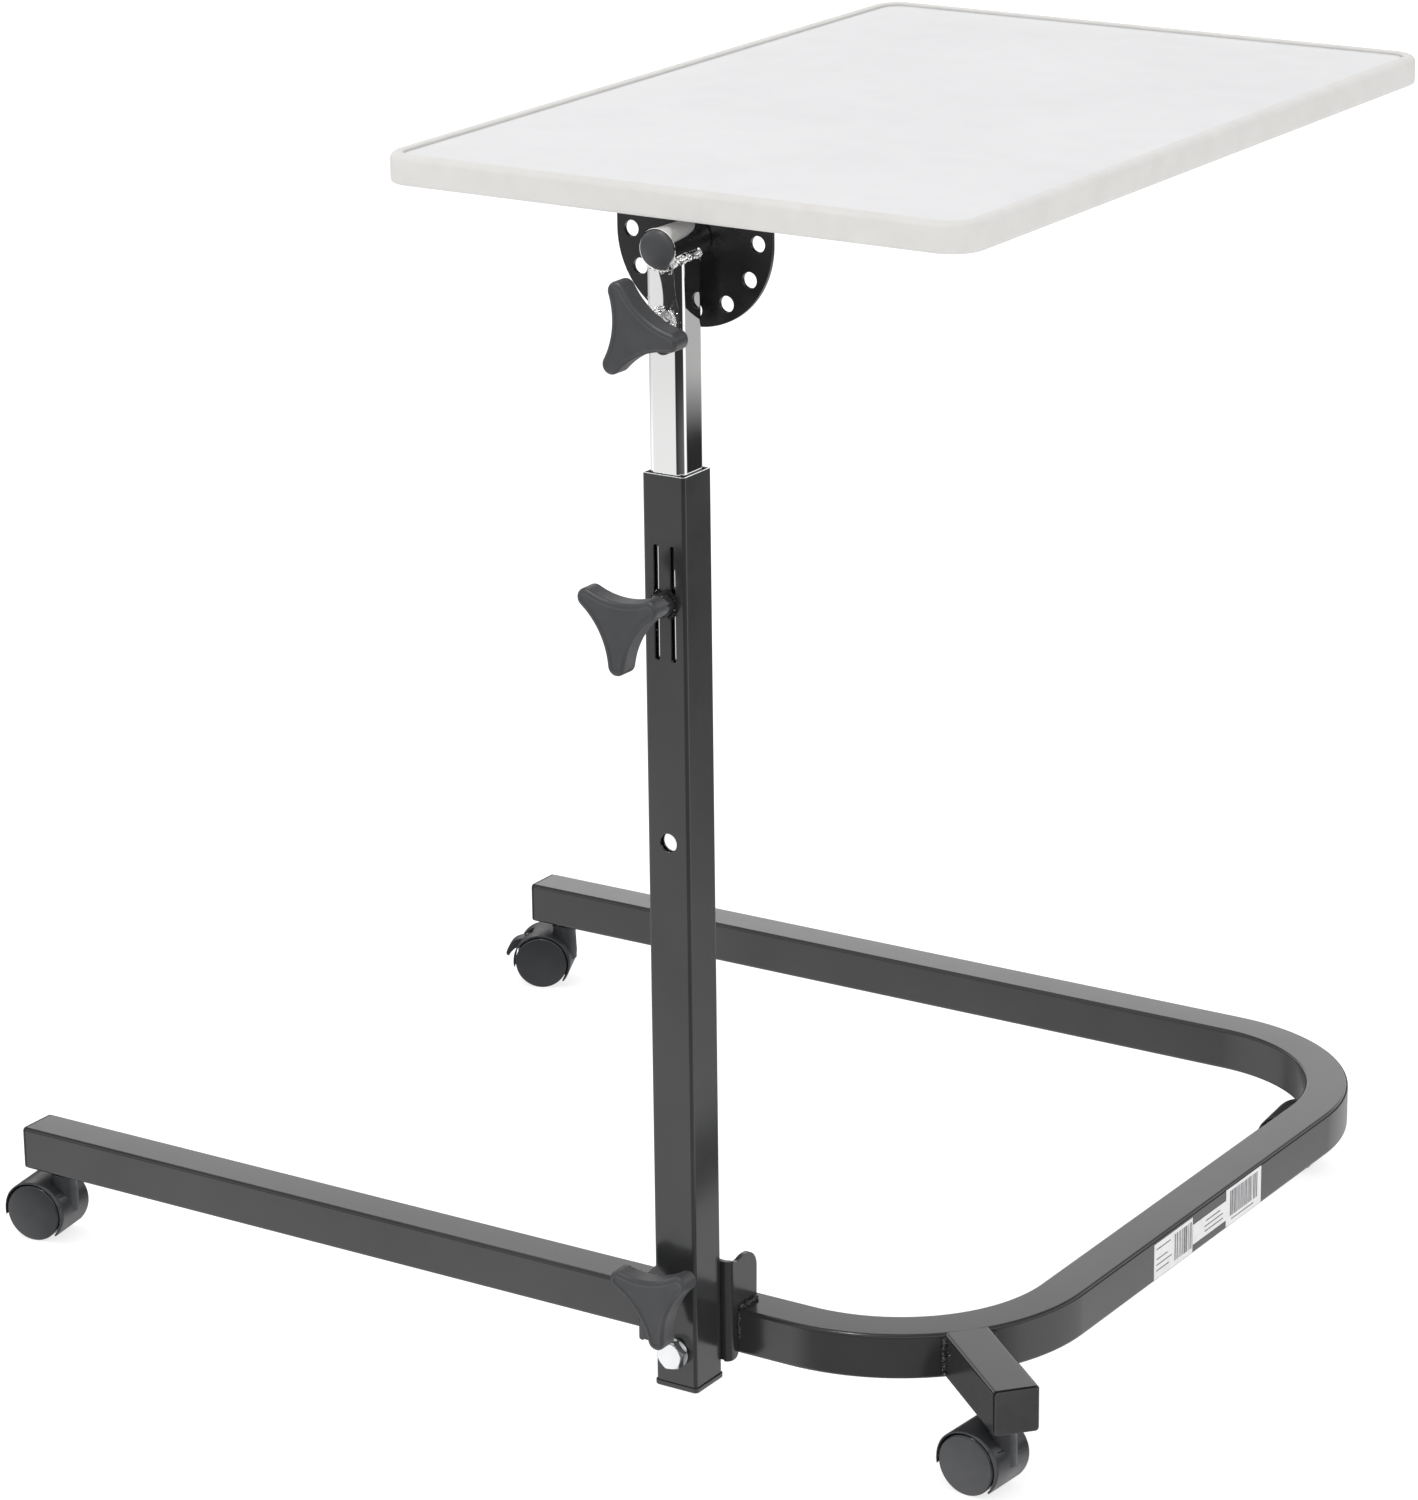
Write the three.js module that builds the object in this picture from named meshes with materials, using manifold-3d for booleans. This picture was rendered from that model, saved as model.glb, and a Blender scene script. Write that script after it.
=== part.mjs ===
// Overbed table: a U-shaped base of square tube on four twin-wheel casters, a two-part mast that
// leans and telescopes, and a cantilevered tabletop that tilts on a pierced quadrant plate.
// Millimetres. +Z is up from the floor, +X points along the legs to the cross bar, and +Y points
// across the base, away from the mast.
import * as THREE from 'three';
import { mergeVertices } from 'three/addons/utils/BufferGeometryUtils.js';
import Module from 'manifold-3d';

// Base frame
const CROSS_BAR_X = 362.8; // outer face of the cross bar
const MAST_LEG_Y = -264.2; // outer face of the leg that carries the mast
const BASE_WIDTH = 616;
const MAST_LEG_LENGTH = 750.5;
const FAR_LEG_LENGTH = 731.5;
const BEND_RADIUS = 120; // to the tube's centre line
const BEND_STEPS = 8;
const TUBE = 30;
const TUBE_WALL = 1.5;
const TUBE_CORNER = 3;
const TUBE_UNDERSIDE = 50;
const OUTRIGGER_REACH = 87; // beyond the outside of the bend
const OUTRIGGER_ANGLE = -40.7; // degrees from +X
const CASTER_INSET = 20; // from a tube's cut end to the caster stem
const PLUG_HEAD = 1.8;
const PLUG_SPIGOT = 10;

// Mast
const MAST_X = CROSS_BAR_X - 193;
const MAST_Y = MAST_LEG_Y - 25;
const MAST_FOOT = 40;
const MAST_TOP = 628;
const MAST_WALL = 1.2;
const INNER_MAST = 25;
const INNER_MAST_FOOT = 200;
const PIVOT_Z = 62;
const LOCK_RADIUS = 44; // from the pivot bolt to the lean lock bolt
const LEAN_RANGE = 30; // degrees
const HEIGHT_SCREW_Z = 549;
const SPARE_HOLE_Z = 398;
const SLOT_LENGTH = 72;
const SLOT_WIDTH = 3.4;
const SLOT_OFFSET = 5.8;

// Tilting head and tabletop
const TILT_Z = 764.7;
const HEAD_TUBE_RADIUS = 12.5;
const QUADRANT_RADIUS = 54.3;
const QUADRANT_HOLE_CIRCLE = 44.2;
const QUADRANT_HOLE_RADIUS = 5;
const QUADRANT_HOLES = 7;
const QUADRANT_FRONT = MAST_LEG_Y - 3;
const SHEET = 3;
const TABLE_LENGTH = 600; // along Y
const TABLE_WIDTH = 410;
const TABLE_NEAR_Y = MAST_LEG_Y - 31.6;
const TABLE_X = MAST_X - 4; // middle of the tabletop
const TABLE_CORNER = 21;
const TABLE_UNDERSIDE = 780;
const RIM_HEIGHT = 18.5;
const RIM_WIDTH = 8;
const RIM_LEDGE = 14;
const RIM_LEDGE_THICKNESS = 2;
const LIP_HEIGHT = 2;

// Casters
const WHEEL_RADIUS = 20;
const WHEEL_WIDTH = 11.2;
const HOOD_RADIUS = 22.4;
const HOOD_WALL = 1.7;
const HOOD_WIDTH = 37;
const CASTER_TRAIL = 16; // from the stem to the axle
const STEM_RADIUS = 4;
const AXLE_RADIUS = 3;
const AXLE_LENGTH = 25;

const GAP = 0.3; // running gap between pieces
const FINE = 28; // sides of a large round
const COARSE = 16;

const wasm = await Module();
wasm.setup();

const radians = THREE.MathUtils.degToRad;

const blackSteel = new THREE.MeshStandardMaterial({ color: 0x3f4042, roughness: 0.4, metalness: 0.1 });
const chrome = new THREE.MeshStandardMaterial({ color: 0xd8d9da, roughness: 0.08, metalness: 1 });
const zinc = new THREE.MeshStandardMaterial({ color: 0xc9ccce, roughness: 0.3, metalness: 1 });
const knobPlastic = new THREE.MeshStandardMaterial({ color: 0x4c4d50, roughness: 0.5, metalness: 0 });
const blackPlastic = new THREE.MeshStandardMaterial({ color: 0x303133, roughness: 0.45, metalness: 0 });
const laminate = new THREE.MeshStandardMaterial({ color: 0xececee, roughness: 0.35, metalness: 0 });
const rimPlastic = new THREE.MeshStandardMaterial({ color: 0xdedcd6, roughness: 0.4, metalness: 0 });

// ---- solids ----

// A closed geometry as a manifold solid, without the zero-area faces at a lathe's axis.
function solid(geometry) {
  const bare = new THREE.BufferGeometry();
  const source = geometry.index ? geometry.toNonIndexed() : geometry;
  bare.setAttribute('position', source.getAttribute('position'));
  const merged = mergeVertices(bare, 1e-4);
  const corners = merged.index.array;
  const faces = [];
  for (let i = 0; i < corners.length; i += 3) {
    const [a, b, c] = corners.slice(i, i + 3);
    if (a !== b && b !== c && c !== a) faces.push(a, b, c);
  }
  const vertProperties = new Float32Array(merged.getAttribute('position').array);
  return new wasm.Manifold(new wasm.Mesh({ numProp: 3, vertProperties, triVerts: new Uint32Array(faces) }));
}

// A named mesh of a manifold solid.
function piece(name, body, material) {
  const { vertProperties, triVerts } = body.getMesh();
  const geometry = new THREE.BufferGeometry();
  geometry.setAttribute('position', new THREE.BufferAttribute(vertProperties, 3));
  geometry.setIndex(new THREE.BufferAttribute(triVerts, 1));
  const flat = geometry.toNonIndexed();
  flat.computeVertexNormals();
  const mesh = new THREE.Mesh(flat, material);
  mesh.name = name;
  return mesh;
}

function unite(...bodies) {
  return bodies.reduce((whole, body) => whole.add(body));
}

function cut(body, ...tools) {
  return tools.reduce((rest, tool) => rest.subtract(tool), body);
}

// A round bar along +Y, from y0 to y1.
function barY(radius, y0, y1, x = 0, z = 0, sides = COARSE) {
  const geometry = new THREE.CylinderGeometry(radius, radius, y1 - y0, sides);
  return solid(geometry.translate(x, (y0 + y1) / 2, z));
}

// A round bar along +Z, from z0 to z1.
function barZ(radius, z0, z1, x = 0, y = 0, sides = COARSE) {
  const geometry = new THREE.CylinderGeometry(radius, radius, z1 - z0, sides).rotateX(Math.PI / 2);
  return solid(geometry.translate(x, y, (z0 + z1) / 2));
}

// A turned solid whose axis is -Y: the profile holds [radius, distance in front of the origin].
function turnedY(profile, sides = COARSE) {
  const points = profile.map(([radius, along]) => new THREE.Vector2(radius, along));
  return solid(new THREE.LatheGeometry(points, sides).rotateX(Math.PI));
}

function extrudeZ(shape, z0, z1, curveSegments = 2) {
  const options = { depth: z1 - z0, bevelEnabled: false, curveSegments };
  return solid(new THREE.ExtrudeGeometry(shape, options).translate(0, 0, z0));
}

// A shape drawn in X and Z, extruded from y0 to y1.
function extrudeY(shape, y0, y1, curveSegments = 2) {
  const options = { depth: y1 - y0, bevelEnabled: false, curveSegments };
  return solid(new THREE.ExtrudeGeometry(shape, options).rotateX(Math.PI / 2).translate(0, y1, 0));
}

// A shape drawn in Y and Z, extruded from x0 to x1.
function extrudeX(shape, x0, x1, curveSegments = 2) {
  const options = { depth: x1 - x0, bevelEnabled: false, curveSegments };
  const geometry = new THREE.ExtrudeGeometry(shape, options).rotateX(Math.PI / 2).rotateZ(Math.PI / 2);
  return solid(geometry.translate(x0, 0, 0));
}

// ---- outlines ----

function roundedRectangle(width, height, corner, Path = THREE.Shape) {
  const x = width / 2 - corner;
  const y = height / 2 - corner;
  const path = new Path();
  path.absarc(x, y, corner, 0, Math.PI / 2);
  path.absarc(-x, y, corner, Math.PI / 2, Math.PI);
  path.absarc(-x, -y, corner, Math.PI, 1.5 * Math.PI);
  path.absarc(x, -y, corner, 1.5 * Math.PI, 2 * Math.PI);
  path.closePath();
  return path;
}

function squareTubeSection(size, wall, corner) {
  const section = roundedRectangle(size, size, corner);
  section.holes.push(roundedRectangle(size - 2 * wall, size - 2 * wall, corner - wall, THREE.Path));
  return section;
}

function hexagon(acrossFlats) {
  const reach = acrossFlats / Math.sqrt(3);
  const points = [0, 1, 2, 3, 4, 5].map((i) => {
    const angle = radians(60 * i);
    return new THREE.Vector2(reach * Math.cos(angle), reach * Math.sin(angle));
  });
  return new THREE.Shape(points);
}

// Three round tips joined by hollow sides.
function knobOutline() {
  const tipRadius = 6;
  const tipCentre = 25.7;
  const waist = 14.2; // from the middle to the deepest point of a side
  const side = waist - tipRadius;
  const hollowCentre = (tipCentre ** 2 - side ** 2) / (tipCentre - 2 * side);
  const hollowRadius = hollowCentre - waist;
  const sixty = radians(60);
  const sweep = Math.atan2(hollowCentre * Math.sin(sixty), hollowCentre * Math.cos(sixty) - tipCentre);
  const outline = new THREE.Shape();
  for (let i = 0; i < 3; i += 1) {
    const tip = 2 * i * sixty;
    const hollow = tip + sixty;
    const leave = tip + sweep + Math.PI;
    const arrive = 2 * (hollow + Math.PI) - leave;
    outline.absarc(tipCentre * Math.cos(tip), tipCentre * Math.sin(tip), tipRadius, tip - sweep, tip + sweep);
    const x = hollowCentre * Math.cos(hollow);
    const y = hollowCentre * Math.sin(hollow);
    outline.absarc(x, y, hollowRadius, leave, arrive, true);
  }
  outline.closePath();
  return outline;
}

// A curve that is sampled only at its stations, so that a straight run takes one step.
class StationCurve extends THREE.Curve {
  constructor(stations) {
    super();
    this.stations = stations;
  }

  station(u) {
    return this.stations[Math.round(u * (this.stations.length - 1))];
  }

  getPointAt(u) {
    return this.station(u).point.clone();
  }

  getTangentAt(u) {
    return this.station(u).tangent.clone();
  }
}

// ---- base frame ----

const halfTube = TUBE / 2;
const outerBend = BEND_RADIUS + halfTube;
const bendX = CROSS_BAR_X - outerBend; // centre of both bends
const mastLegAxisY = MAST_LEG_Y + halfTube;
const farLegAxisY = MAST_LEG_Y + BASE_WIDTH - halfTube;
const nearBendY = mastLegAxisY + BEND_RADIUS;
const farBendY = farLegAxisY - BEND_RADIUS;
const tubeAxisZ = TUBE_UNDERSIDE + halfTube;
const outriggerLength = outerBend + OUTRIGGER_REACH; // from the centre of the bend
const outriggerCaster = outriggerLength - CASTER_INSET - 3;

const casterPlaces = [
  {
    name: 'mast_leg',
    x: CROSS_BAR_X - MAST_LEG_LENGTH + CASTER_INSET,
    y: mastLegAxisY,
    turn: 9,
    brake: false,
  },
  {
    name: 'far_leg',
    x: CROSS_BAR_X - FAR_LEG_LENGTH + CASTER_INSET - 2,
    y: farLegAxisY,
    turn: 25,
    brake: true,
  },
  {
    name: 'outrigger',
    x: bendX + outriggerCaster * Math.cos(radians(OUTRIGGER_ANGLE)),
    y: nearBendY + outriggerCaster * Math.sin(radians(OUTRIGGER_ANGLE)),
    turn: -4,
    brake: false,
  },
  {
    name: 'far_corner',
    x: bendX + BEND_RADIUS * Math.cos(radians(45)),
    y: farBendY + BEND_RADIUS * Math.sin(radians(45)),
    turn: 6,
    brake: false,
  },
];

function stemHole({ x, y }) {
  return barZ(STEM_RADIUS + GAP, TUBE_UNDERSIDE - 1, TUBE_UNDERSIDE + 2 * TUBE_WALL, x, y);
}

function bend(centreY, from, to) {
  const stations = [];
  for (let i = 0; i <= BEND_STEPS; i += 1) {
    const angle = radians(from + ((to - from) * i) / BEND_STEPS);
    const point = new THREE.Vector3(
      bendX + BEND_RADIUS * Math.cos(angle),
      centreY + BEND_RADIUS * Math.sin(angle),
      tubeAxisZ,
    );
    stations.push({ point, tangent: new THREE.Vector3(-Math.sin(angle), Math.cos(angle), 0) });
  }
  return stations;
}

function legEnd(length, y, direction) {
  const point = new THREE.Vector3(CROSS_BAR_X - length, y, tubeAxisZ);
  return { point, tangent: new THREE.Vector3(direction, 0, 0) };
}

function makeBaseFrame() {
  const route = new StationCurve([
    legEnd(MAST_LEG_LENGTH, mastLegAxisY, 1),
    ...bend(nearBendY, -90, 0),
    ...bend(farBendY, 0, 90),
    legEnd(FAR_LEG_LENGTH, farLegAxisY, -1),
  ]);
  const section = squareTubeSection(TUBE, TUBE_WALL, TUBE_CORNER);
  const options = { steps: route.stations.length - 1, extrudePath: route, curveSegments: 1 };
  const tube = solid(new THREE.ExtrudeGeometry(section, options));
  const [mastLeg, farLeg, , farCorner] = casterPlaces;
  return cut(tube, stemHole(mastLeg), stemHole(farLeg), stemHole(farCorner));
}

// Drawn along +X from the centre of the bend, then turned to its angle.
function makeOutrigger() {
  const section = squareTubeSection(TUBE, TUBE_WALL, TUBE_CORNER);
  const overlap = 10; // before the saddle is cut
  const depth = OUTRIGGER_REACH + overlap;
  const geometry = new THREE.ExtrudeGeometry(section, { depth, bevelEnabled: false, curveSegments: 1 });
  geometry.rotateY(Math.PI / 2).translate(outerBend - overlap, 0, tubeAxisZ);
  const saddle = barZ(outerBend + GAP, TUBE_UNDERSIDE - 1, TUBE_UNDERSIDE + TUBE + 1, 0, 0, 72);
  const hole = stemHole({ x: outriggerCaster, y: 0 });
  return cut(solid(geometry), saddle, hole);
}

// A push-in plug for the base tube, with its head on the -X side of the origin.
function makeTubePlug(head) {
  const inner = TUBE - 2 * TUBE_WALL - 2 * GAP;
  const cap = roundedRectangle(TUBE, TUBE, TUBE_CORNER);
  const spigot = roundedRectangle(inner, inner, TUBE_CORNER - TUBE_WALL);
  return unite(extrudeX(cap, -head, 0, 1), extrudeX(spigot, -GAP, PLUG_SPIGOT, 1));
}

const base = new THREE.Group();
base.add(piece('base_frame', makeBaseFrame(), blackSteel));

const outrigger = new THREE.Group();
outrigger.position.set(bendX, nearBendY, 0);
outrigger.rotation.z = radians(OUTRIGGER_ANGLE);
outrigger.add(piece('outrigger_tube', makeOutrigger(), blackSteel));
const outriggerPlug = piece('outrigger_plug', makeTubePlug(PLUG_HEAD + 0.6), blackPlastic);
outriggerPlug.position.set(outriggerLength + GAP, 0, tubeAxisZ);
outriggerPlug.rotation.z = Math.PI;
outrigger.add(outriggerPlug);
base.add(outrigger);

for (const [name, length, y] of [
  ['mast_leg_plug', MAST_LEG_LENGTH, mastLegAxisY],
  ['far_leg_plug', FAR_LEG_LENGTH, farLegAxisY],
]) {
  const plug = piece(name, makeTubePlug(PLUG_HEAD), blackPlastic);
  plug.position.set(CROSS_BAR_X - length - GAP, y, tubeAxisZ);
  base.add(plug);
}

// ---- mast pivot: drawn around the mast's axis, with Z up from the floor ----

const mastFront = -halfTube;
const bracketFront = halfTube + 0.5;
const bracketBack = bracketFront + SHEET;
const legFront = MAST_LEG_Y - MAST_Y;
const bracketLeft = -50;
const bracketRight = 21;
const bracketFoot = TUBE_UNDERSIDE - 2;
const bracketTop = 116;
const legTop = TUBE_UNDERSIDE + TUBE;

// An arc slot about the pivot bolt, from upright to the leaning position.
function leanSlot(width) {
  const start = Math.PI / 2;
  const end = start + radians(LEAN_RANGE);
  const slot = new THREE.Shape();
  const outer = LOCK_RADIUS + width / 2;
  const inner = LOCK_RADIUS - width / 2;
  slot.absarc(0, PIVOT_Z, outer, start, end);
  const far = new THREE.Vector2(Math.cos(end), Math.sin(end)).multiplyScalar(LOCK_RADIUS);
  slot.absarc(far.x, far.y + PIVOT_Z, width / 2, end, end + Math.PI);
  slot.absarc(0, PIVOT_Z, inner, end, start, true);
  slot.absarc(0, PIVOT_Z + LOCK_RADIUS, width / 2, start - Math.PI, start);
  slot.closePath();
  return slot;
}

function makePivotBracket() {
  const web = new THREE.Shape();
  web.moveTo(bracketLeft, bracketFoot + 4);
  web.lineTo(bracketLeft + 4, bracketFoot);
  web.lineTo(bracketRight - 4, bracketFoot);
  web.lineTo(bracketRight, bracketFoot + 4);
  web.lineTo(bracketRight, bracketTop);
  web.lineTo(-20, bracketTop);
  web.lineTo(bracketLeft, legTop + 5);
  web.closePath();

  const tallFlange = new THREE.Shape();
  tallFlange.moveTo(bracketFront, bracketFoot + 4);
  tallFlange.lineTo(legFront - 4, bracketFoot);
  tallFlange.lineTo(legFront - GAP, bracketFoot + 4);
  tallFlange.lineTo(legFront - GAP, legTop + GAP);
  tallFlange.lineTo(legFront + 21.5, legTop + GAP);
  tallFlange.lineTo(legFront + 21.5, bracketTop - 12);
  tallFlange.absarc(legFront + 10.5, bracketTop - 12, 11, 0, Math.PI / 2);
  tallFlange.quadraticCurveTo(legFront, bracketTop - 2, legFront - 3, bracketTop - 5);
  tallFlange.lineTo(bracketFront, bracketTop);
  tallFlange.closePath();

  const lowFlange = new THREE.Shape();
  lowFlange.moveTo(bracketFront, bracketFoot + 4);
  lowFlange.lineTo(legFront - GAP, bracketFoot + 4);
  lowFlange.lineTo(legFront - GAP, legTop + GAP);
  lowFlange.lineTo(legFront + 24, legTop + GAP);
  lowFlange.lineTo(legFront + 20, legTop + 5);
  lowFlange.lineTo(bracketFront, legTop + 5);
  lowFlange.closePath();

  const sheet = unite(
    extrudeY(web, bracketFront, bracketBack),
    extrudeX(tallFlange, bracketRight - SHEET, bracketRight, 3),
    extrudeX(lowFlange, bracketLeft, bracketLeft + SHEET),
  );
  const boltHole = barY(5.3, bracketFront - 1, bracketBack + 1, 0, PIVOT_Z);
  return cut(sheet, boltHole, extrudeY(leanSlot(9), bracketFront - 1, bracketBack + 1, 4));
}

// A hexagon-headed screw along +Y, with the underside of its head at y = 0.
function makeHexBolt(acrossFlats, head, radius, length) {
  return unite(extrudeY(hexagon(acrossFlats), -head, 0), barY(radius, -1, length));
}

function makeWasher(outer, inner, y0, y1) {
  return cut(barY(outer, y0, y1), barY(inner, y0 - 1, y1 + 1));
}

const pivot = new THREE.Group();
pivot.position.set(MAST_X, MAST_Y, 0);
pivot.add(piece('pivot_bracket', makePivotBracket(), blackSteel));

const washerThickness = 1.8;
const washer = piece('pivot_washer', makeWasher(9.8, 5.3, -washerThickness, 0), zinc);
washer.position.set(0, mastFront - 0.1, PIVOT_Z);
pivot.add(washer);

const boltSeat = mastFront - washerThickness - 0.2;
const boltLength = legFront - 0.8 - boltSeat;
const pivotBolt = piece('pivot_bolt', makeHexBolt(17, 6.4, 5, boltLength), zinc);
pivotBolt.position.set(0, boltSeat, PIVOT_Z);
pivot.add(pivotBolt);

const thinNut = cut(extrudeY(hexagon(17), 0, 4.6), barY(5.2, -1, 6));
const pivotNut = piece('pivot_nut', thinNut, zinc);
pivotNut.position.set(0, bracketBack + 0.1, PIVOT_Z);
pivot.add(pivotNut);
base.add(pivot);

// ---- outer mast ----

function makeOuterMast() {
  const section = squareTubeSection(TUBE, MAST_WALL, TUBE_CORNER);
  const tube = extrudeZ(section, MAST_FOOT, MAST_TOP);
  const through = halfTube + 1;
  const slots = [-SLOT_OFFSET, SLOT_OFFSET].map((x) => {
    const slot = roundedRectangle(SLOT_WIDTH, SLOT_LENGTH, SLOT_WIDTH / 2 - 0.01);
    return extrudeY(slot, -through, -through + 4, 3).translate([x, 0, HEIGHT_SCREW_Z]);
  });
  return cut(
    tube,
    barY(5.3, -through, through, 0, PIVOT_Z),
    barY(4.4, -through, through, 0, PIVOT_Z + LOCK_RADIUS),
    barY(6, -through, through, 0, SPARE_HOLE_Z),
    barY(4.4, -through, 0, 0, HEIGHT_SCREW_Z),
    ...slots,
  );
}

function makeFootCap() {
  const inner = TUBE - 2 * MAST_WALL - 2 * GAP;
  const flange = roundedRectangle(TUBE + 1.6, TUBE + 1.6, TUBE_CORNER + 0.8);
  const spigot = roundedRectangle(inner, inner, TUBE_CORNER - MAST_WALL);
  return unite(extrudeZ(flange, -3.5, 0, 1), extrudeZ(spigot, -1, 8, 1));
}

// A thin plastic sleeve between the two masts, with a collar on the outer mast's cut end.
function makeGlideCollar() {
  const outer = TUBE - 2 * MAST_WALL - 0.4;
  const bore = INNER_MAST + 0.4;
  const collar = roundedRectangle(TUBE - 0.6, TUBE - 0.6, TUBE_CORNER);
  const sleeve = roundedRectangle(outer, outer, TUBE_CORNER - MAST_WALL);
  const passage = roundedRectangle(bore, bore, 2.6);
  const body = unite(extrudeZ(collar, 0, 1, 1), extrudeZ(sleeve, -30, 0.5, 1));
  return cut(body, extrudeZ(passage, -40, 10, 1));
}

// A round weld nut, with its base on the mast at y = 0.
function makeWeldNut() {
  return cut(turnedY([[0, 0], [7.5, 0], [7.5, 6.5], [6.4, 8], [0, 8]]), barY(4.3, -10, 10));
}

const mast = new THREE.Group();
mast.position.set(MAST_X, MAST_Y, 0);
mast.add(piece('outer_mast', makeOuterMast(), blackSteel));

const footCap = piece('mast_foot_cap', makeFootCap(), blackPlastic);
footCap.position.z = MAST_FOOT - 0.1;
mast.add(footCap);

const glideCollar = piece('mast_glide_collar', makeGlideCollar(), blackPlastic);
glideCollar.position.z = MAST_TOP + 0.1;
mast.add(glideCollar);

const heightNut = piece('height_weld_nut', makeWeldNut(), blackSteel);
heightNut.position.set(0, mastFront - 0.1, HEIGHT_SCREW_Z);
mast.add(heightNut);

// ---- knobs: the axis is Y, the mast is on the +Y side, and the origin is the back of the hand grip ----

const KNOB_THICKNESS = 14;
const KNOB_EDGE = 2.5;
const KNOB_HUB = 8;

function makeKnob(hubLength) {
  const grip = new THREE.ExtrudeGeometry(knobOutline(), {
    depth: KNOB_THICKNESS - 2 * KNOB_EDGE,
    bevelThickness: KNOB_EDGE,
    bevelSize: KNOB_EDGE,
    bevelOffset: -KNOB_EDGE,
    bevelSegments: 1,
    curveSegments: 3,
  });
  grip.rotateX(Math.PI / 2).translate(0, -KNOB_EDGE, 0);
  const hub = turnedY([[0, -hubLength], [6.5, -hubLength], [KNOB_HUB + 2, 2], [0, 2]]);
  const socket = barY(4 + GAP, -KNOB_THICKNESS + 5, hubLength + 1);
  return cut(unite(solid(grip), hub), socket);
}

// A threaded stud that starts inside the knob.
function makeStud(length, headRadius = 0, headLength = 0) {
  const stud = barY(4, -KNOB_THICKNESS + 5.3, length);
  return headRadius > 0 ? unite(stud, barY(headRadius, length, length + headLength)) : stud;
}

function knobGroup(z, stand, angle) {
  const group = new THREE.Group();
  group.position.set(0, mastFront - stand, z);
  group.rotation.y = -radians(angle);
  return group;
}

// The lean lock: its bolt comes from behind the bracket, through the slot and the mast, into the knob.
const lockStand = 15;
const lockKnob = knobGroup(PIVOT_Z + LOCK_RADIUS, lockStand, 38);
lockKnob.add(piece('lean_knob', makeKnob(10), knobPlastic));
mast.add(lockKnob);
const lockBoltLength = lockStand + halfTube + bracketBack + 2;
const lockBolt = piece('lean_lock_bolt', makeStud(lockBoltLength, 8.5, 3.5), zinc);
lockBolt.position.set(0, mastFront - lockStand, PIVOT_Z + LOCK_RADIUS);
mast.add(lockBolt);
const lockWasher = piece('lean_lock_washer', makeWasher(9.5, 4.3, 0, 1.6), zinc);
lockWasher.position.set(0, bracketBack + 0.2, PIVOT_Z + LOCK_RADIUS);
mast.add(lockWasher);

const heightKnob = knobGroup(HEIGHT_SCREW_Z, 39, 28);
heightKnob.add(piece('height_knob', makeKnob(20), knobPlastic));
heightKnob.add(piece('height_screw', makeStud(39 + MAST_WALL + 0.5), zinc));
mast.add(heightKnob);

// ---- inner mast and head ----

const quadrantFront = QUADRANT_FRONT - MAST_Y;
const headTubeFront = mastFront - 2.5;
const headTubeBack = quadrantFront - 0.6;
const tiltPinZ = TILT_Z - QUADRANT_HOLE_CIRCLE;
const halfInner = INNER_MAST / 2;

function makeInnerMast() {
  const section = squareTubeSection(INNER_MAST, TUBE_WALL, TUBE_CORNER);
  const tube = extrudeZ(section, INNER_MAST_FOOT, TILT_Z - 7);
  const saddle = barY(HEAD_TUBE_RADIUS + GAP, -halfTube, halfTube, 0, TILT_Z, FINE);
  return cut(tube, saddle, barY(4.4, -halfTube, halfTube, 0, tiltPinZ));
}

function makeFootGlide() {
  const inner = INNER_MAST - 2 * TUBE_WALL - 2 * GAP;
  const shoe = roundedRectangle(26.8, 26.8, 2);
  const spigot = roundedRectangle(inner, inner, TUBE_CORNER - TUBE_WALL);
  const passage = roundedRectangle(12, 12, 2);
  const body = unite(extrudeZ(shoe, -12, 0, 1), extrudeZ(spigot, -1, 12, 1));
  return cut(body, extrudeZ(passage, -20, 20, 1));
}

function makeHeadTube() {
  const outside = barY(HEAD_TUBE_RADIUS, headTubeFront, headTubeBack, 0, 0, FINE);
  return cut(outside, barY(HEAD_TUBE_RADIUS - 2, headTubeFront - 1, headTubeBack + 1, 0, 0, FINE));
}

function makeHeadCap() {
  const reach = HEAD_TUBE_RADIUS - 0.8;
  const profile = [[0, -3], [HEAD_TUBE_RADIUS - 2.3, -3], [HEAD_TUBE_RADIUS - 2.3, 0.1], [reach, 0.1]];
  const dome = [0.6, 0.4, 0.2, 0].map((t) => [reach * Math.sin((t * Math.PI) / 1.2), 0.9 + 2.6 * (1 - t / 0.6)]);
  return turnedY([...profile, ...dome.slice(0, -1), [0, 3.5]], FINE);
}

const inner = new THREE.Group();
inner.position.set(MAST_X, MAST_Y, 0);
inner.add(piece('inner_mast', makeInnerMast(), chrome));

const footGlide = piece('inner_mast_glide', makeFootGlide(), blackPlastic);
footGlide.position.z = INNER_MAST_FOOT - 0.1;
inner.add(footGlide);

const headTube = piece('head_tube', makeHeadTube(), chrome);
headTube.position.z = TILT_Z;
inner.add(headTube);

const headCap = piece('head_tube_cap', makeHeadCap(), blackPlastic);
headCap.position.set(0, headTubeFront, TILT_Z);
inner.add(headCap);

const tiltNut = piece('tilt_weld_nut', makeWeldNut(), chrome);
tiltNut.position.set(0, -halfInner - 0.1, tiltPinZ);
inner.add(tiltNut);

const tiltKnobStand = 18;
const tiltKnob = knobGroup(tiltPinZ, tiltKnobStand, -6);
tiltKnob.add(piece('tilt_knob', makeKnob(6), knobPlastic));
const tiltPinLength = tiltKnobStand - mastFront + quadrantFront - 0.5;
tiltKnob.add(piece('tilt_pin', makeStud(tiltPinLength), zinc));
inner.add(tiltKnob);

// ---- quadrant, support and tabletop ----

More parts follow.
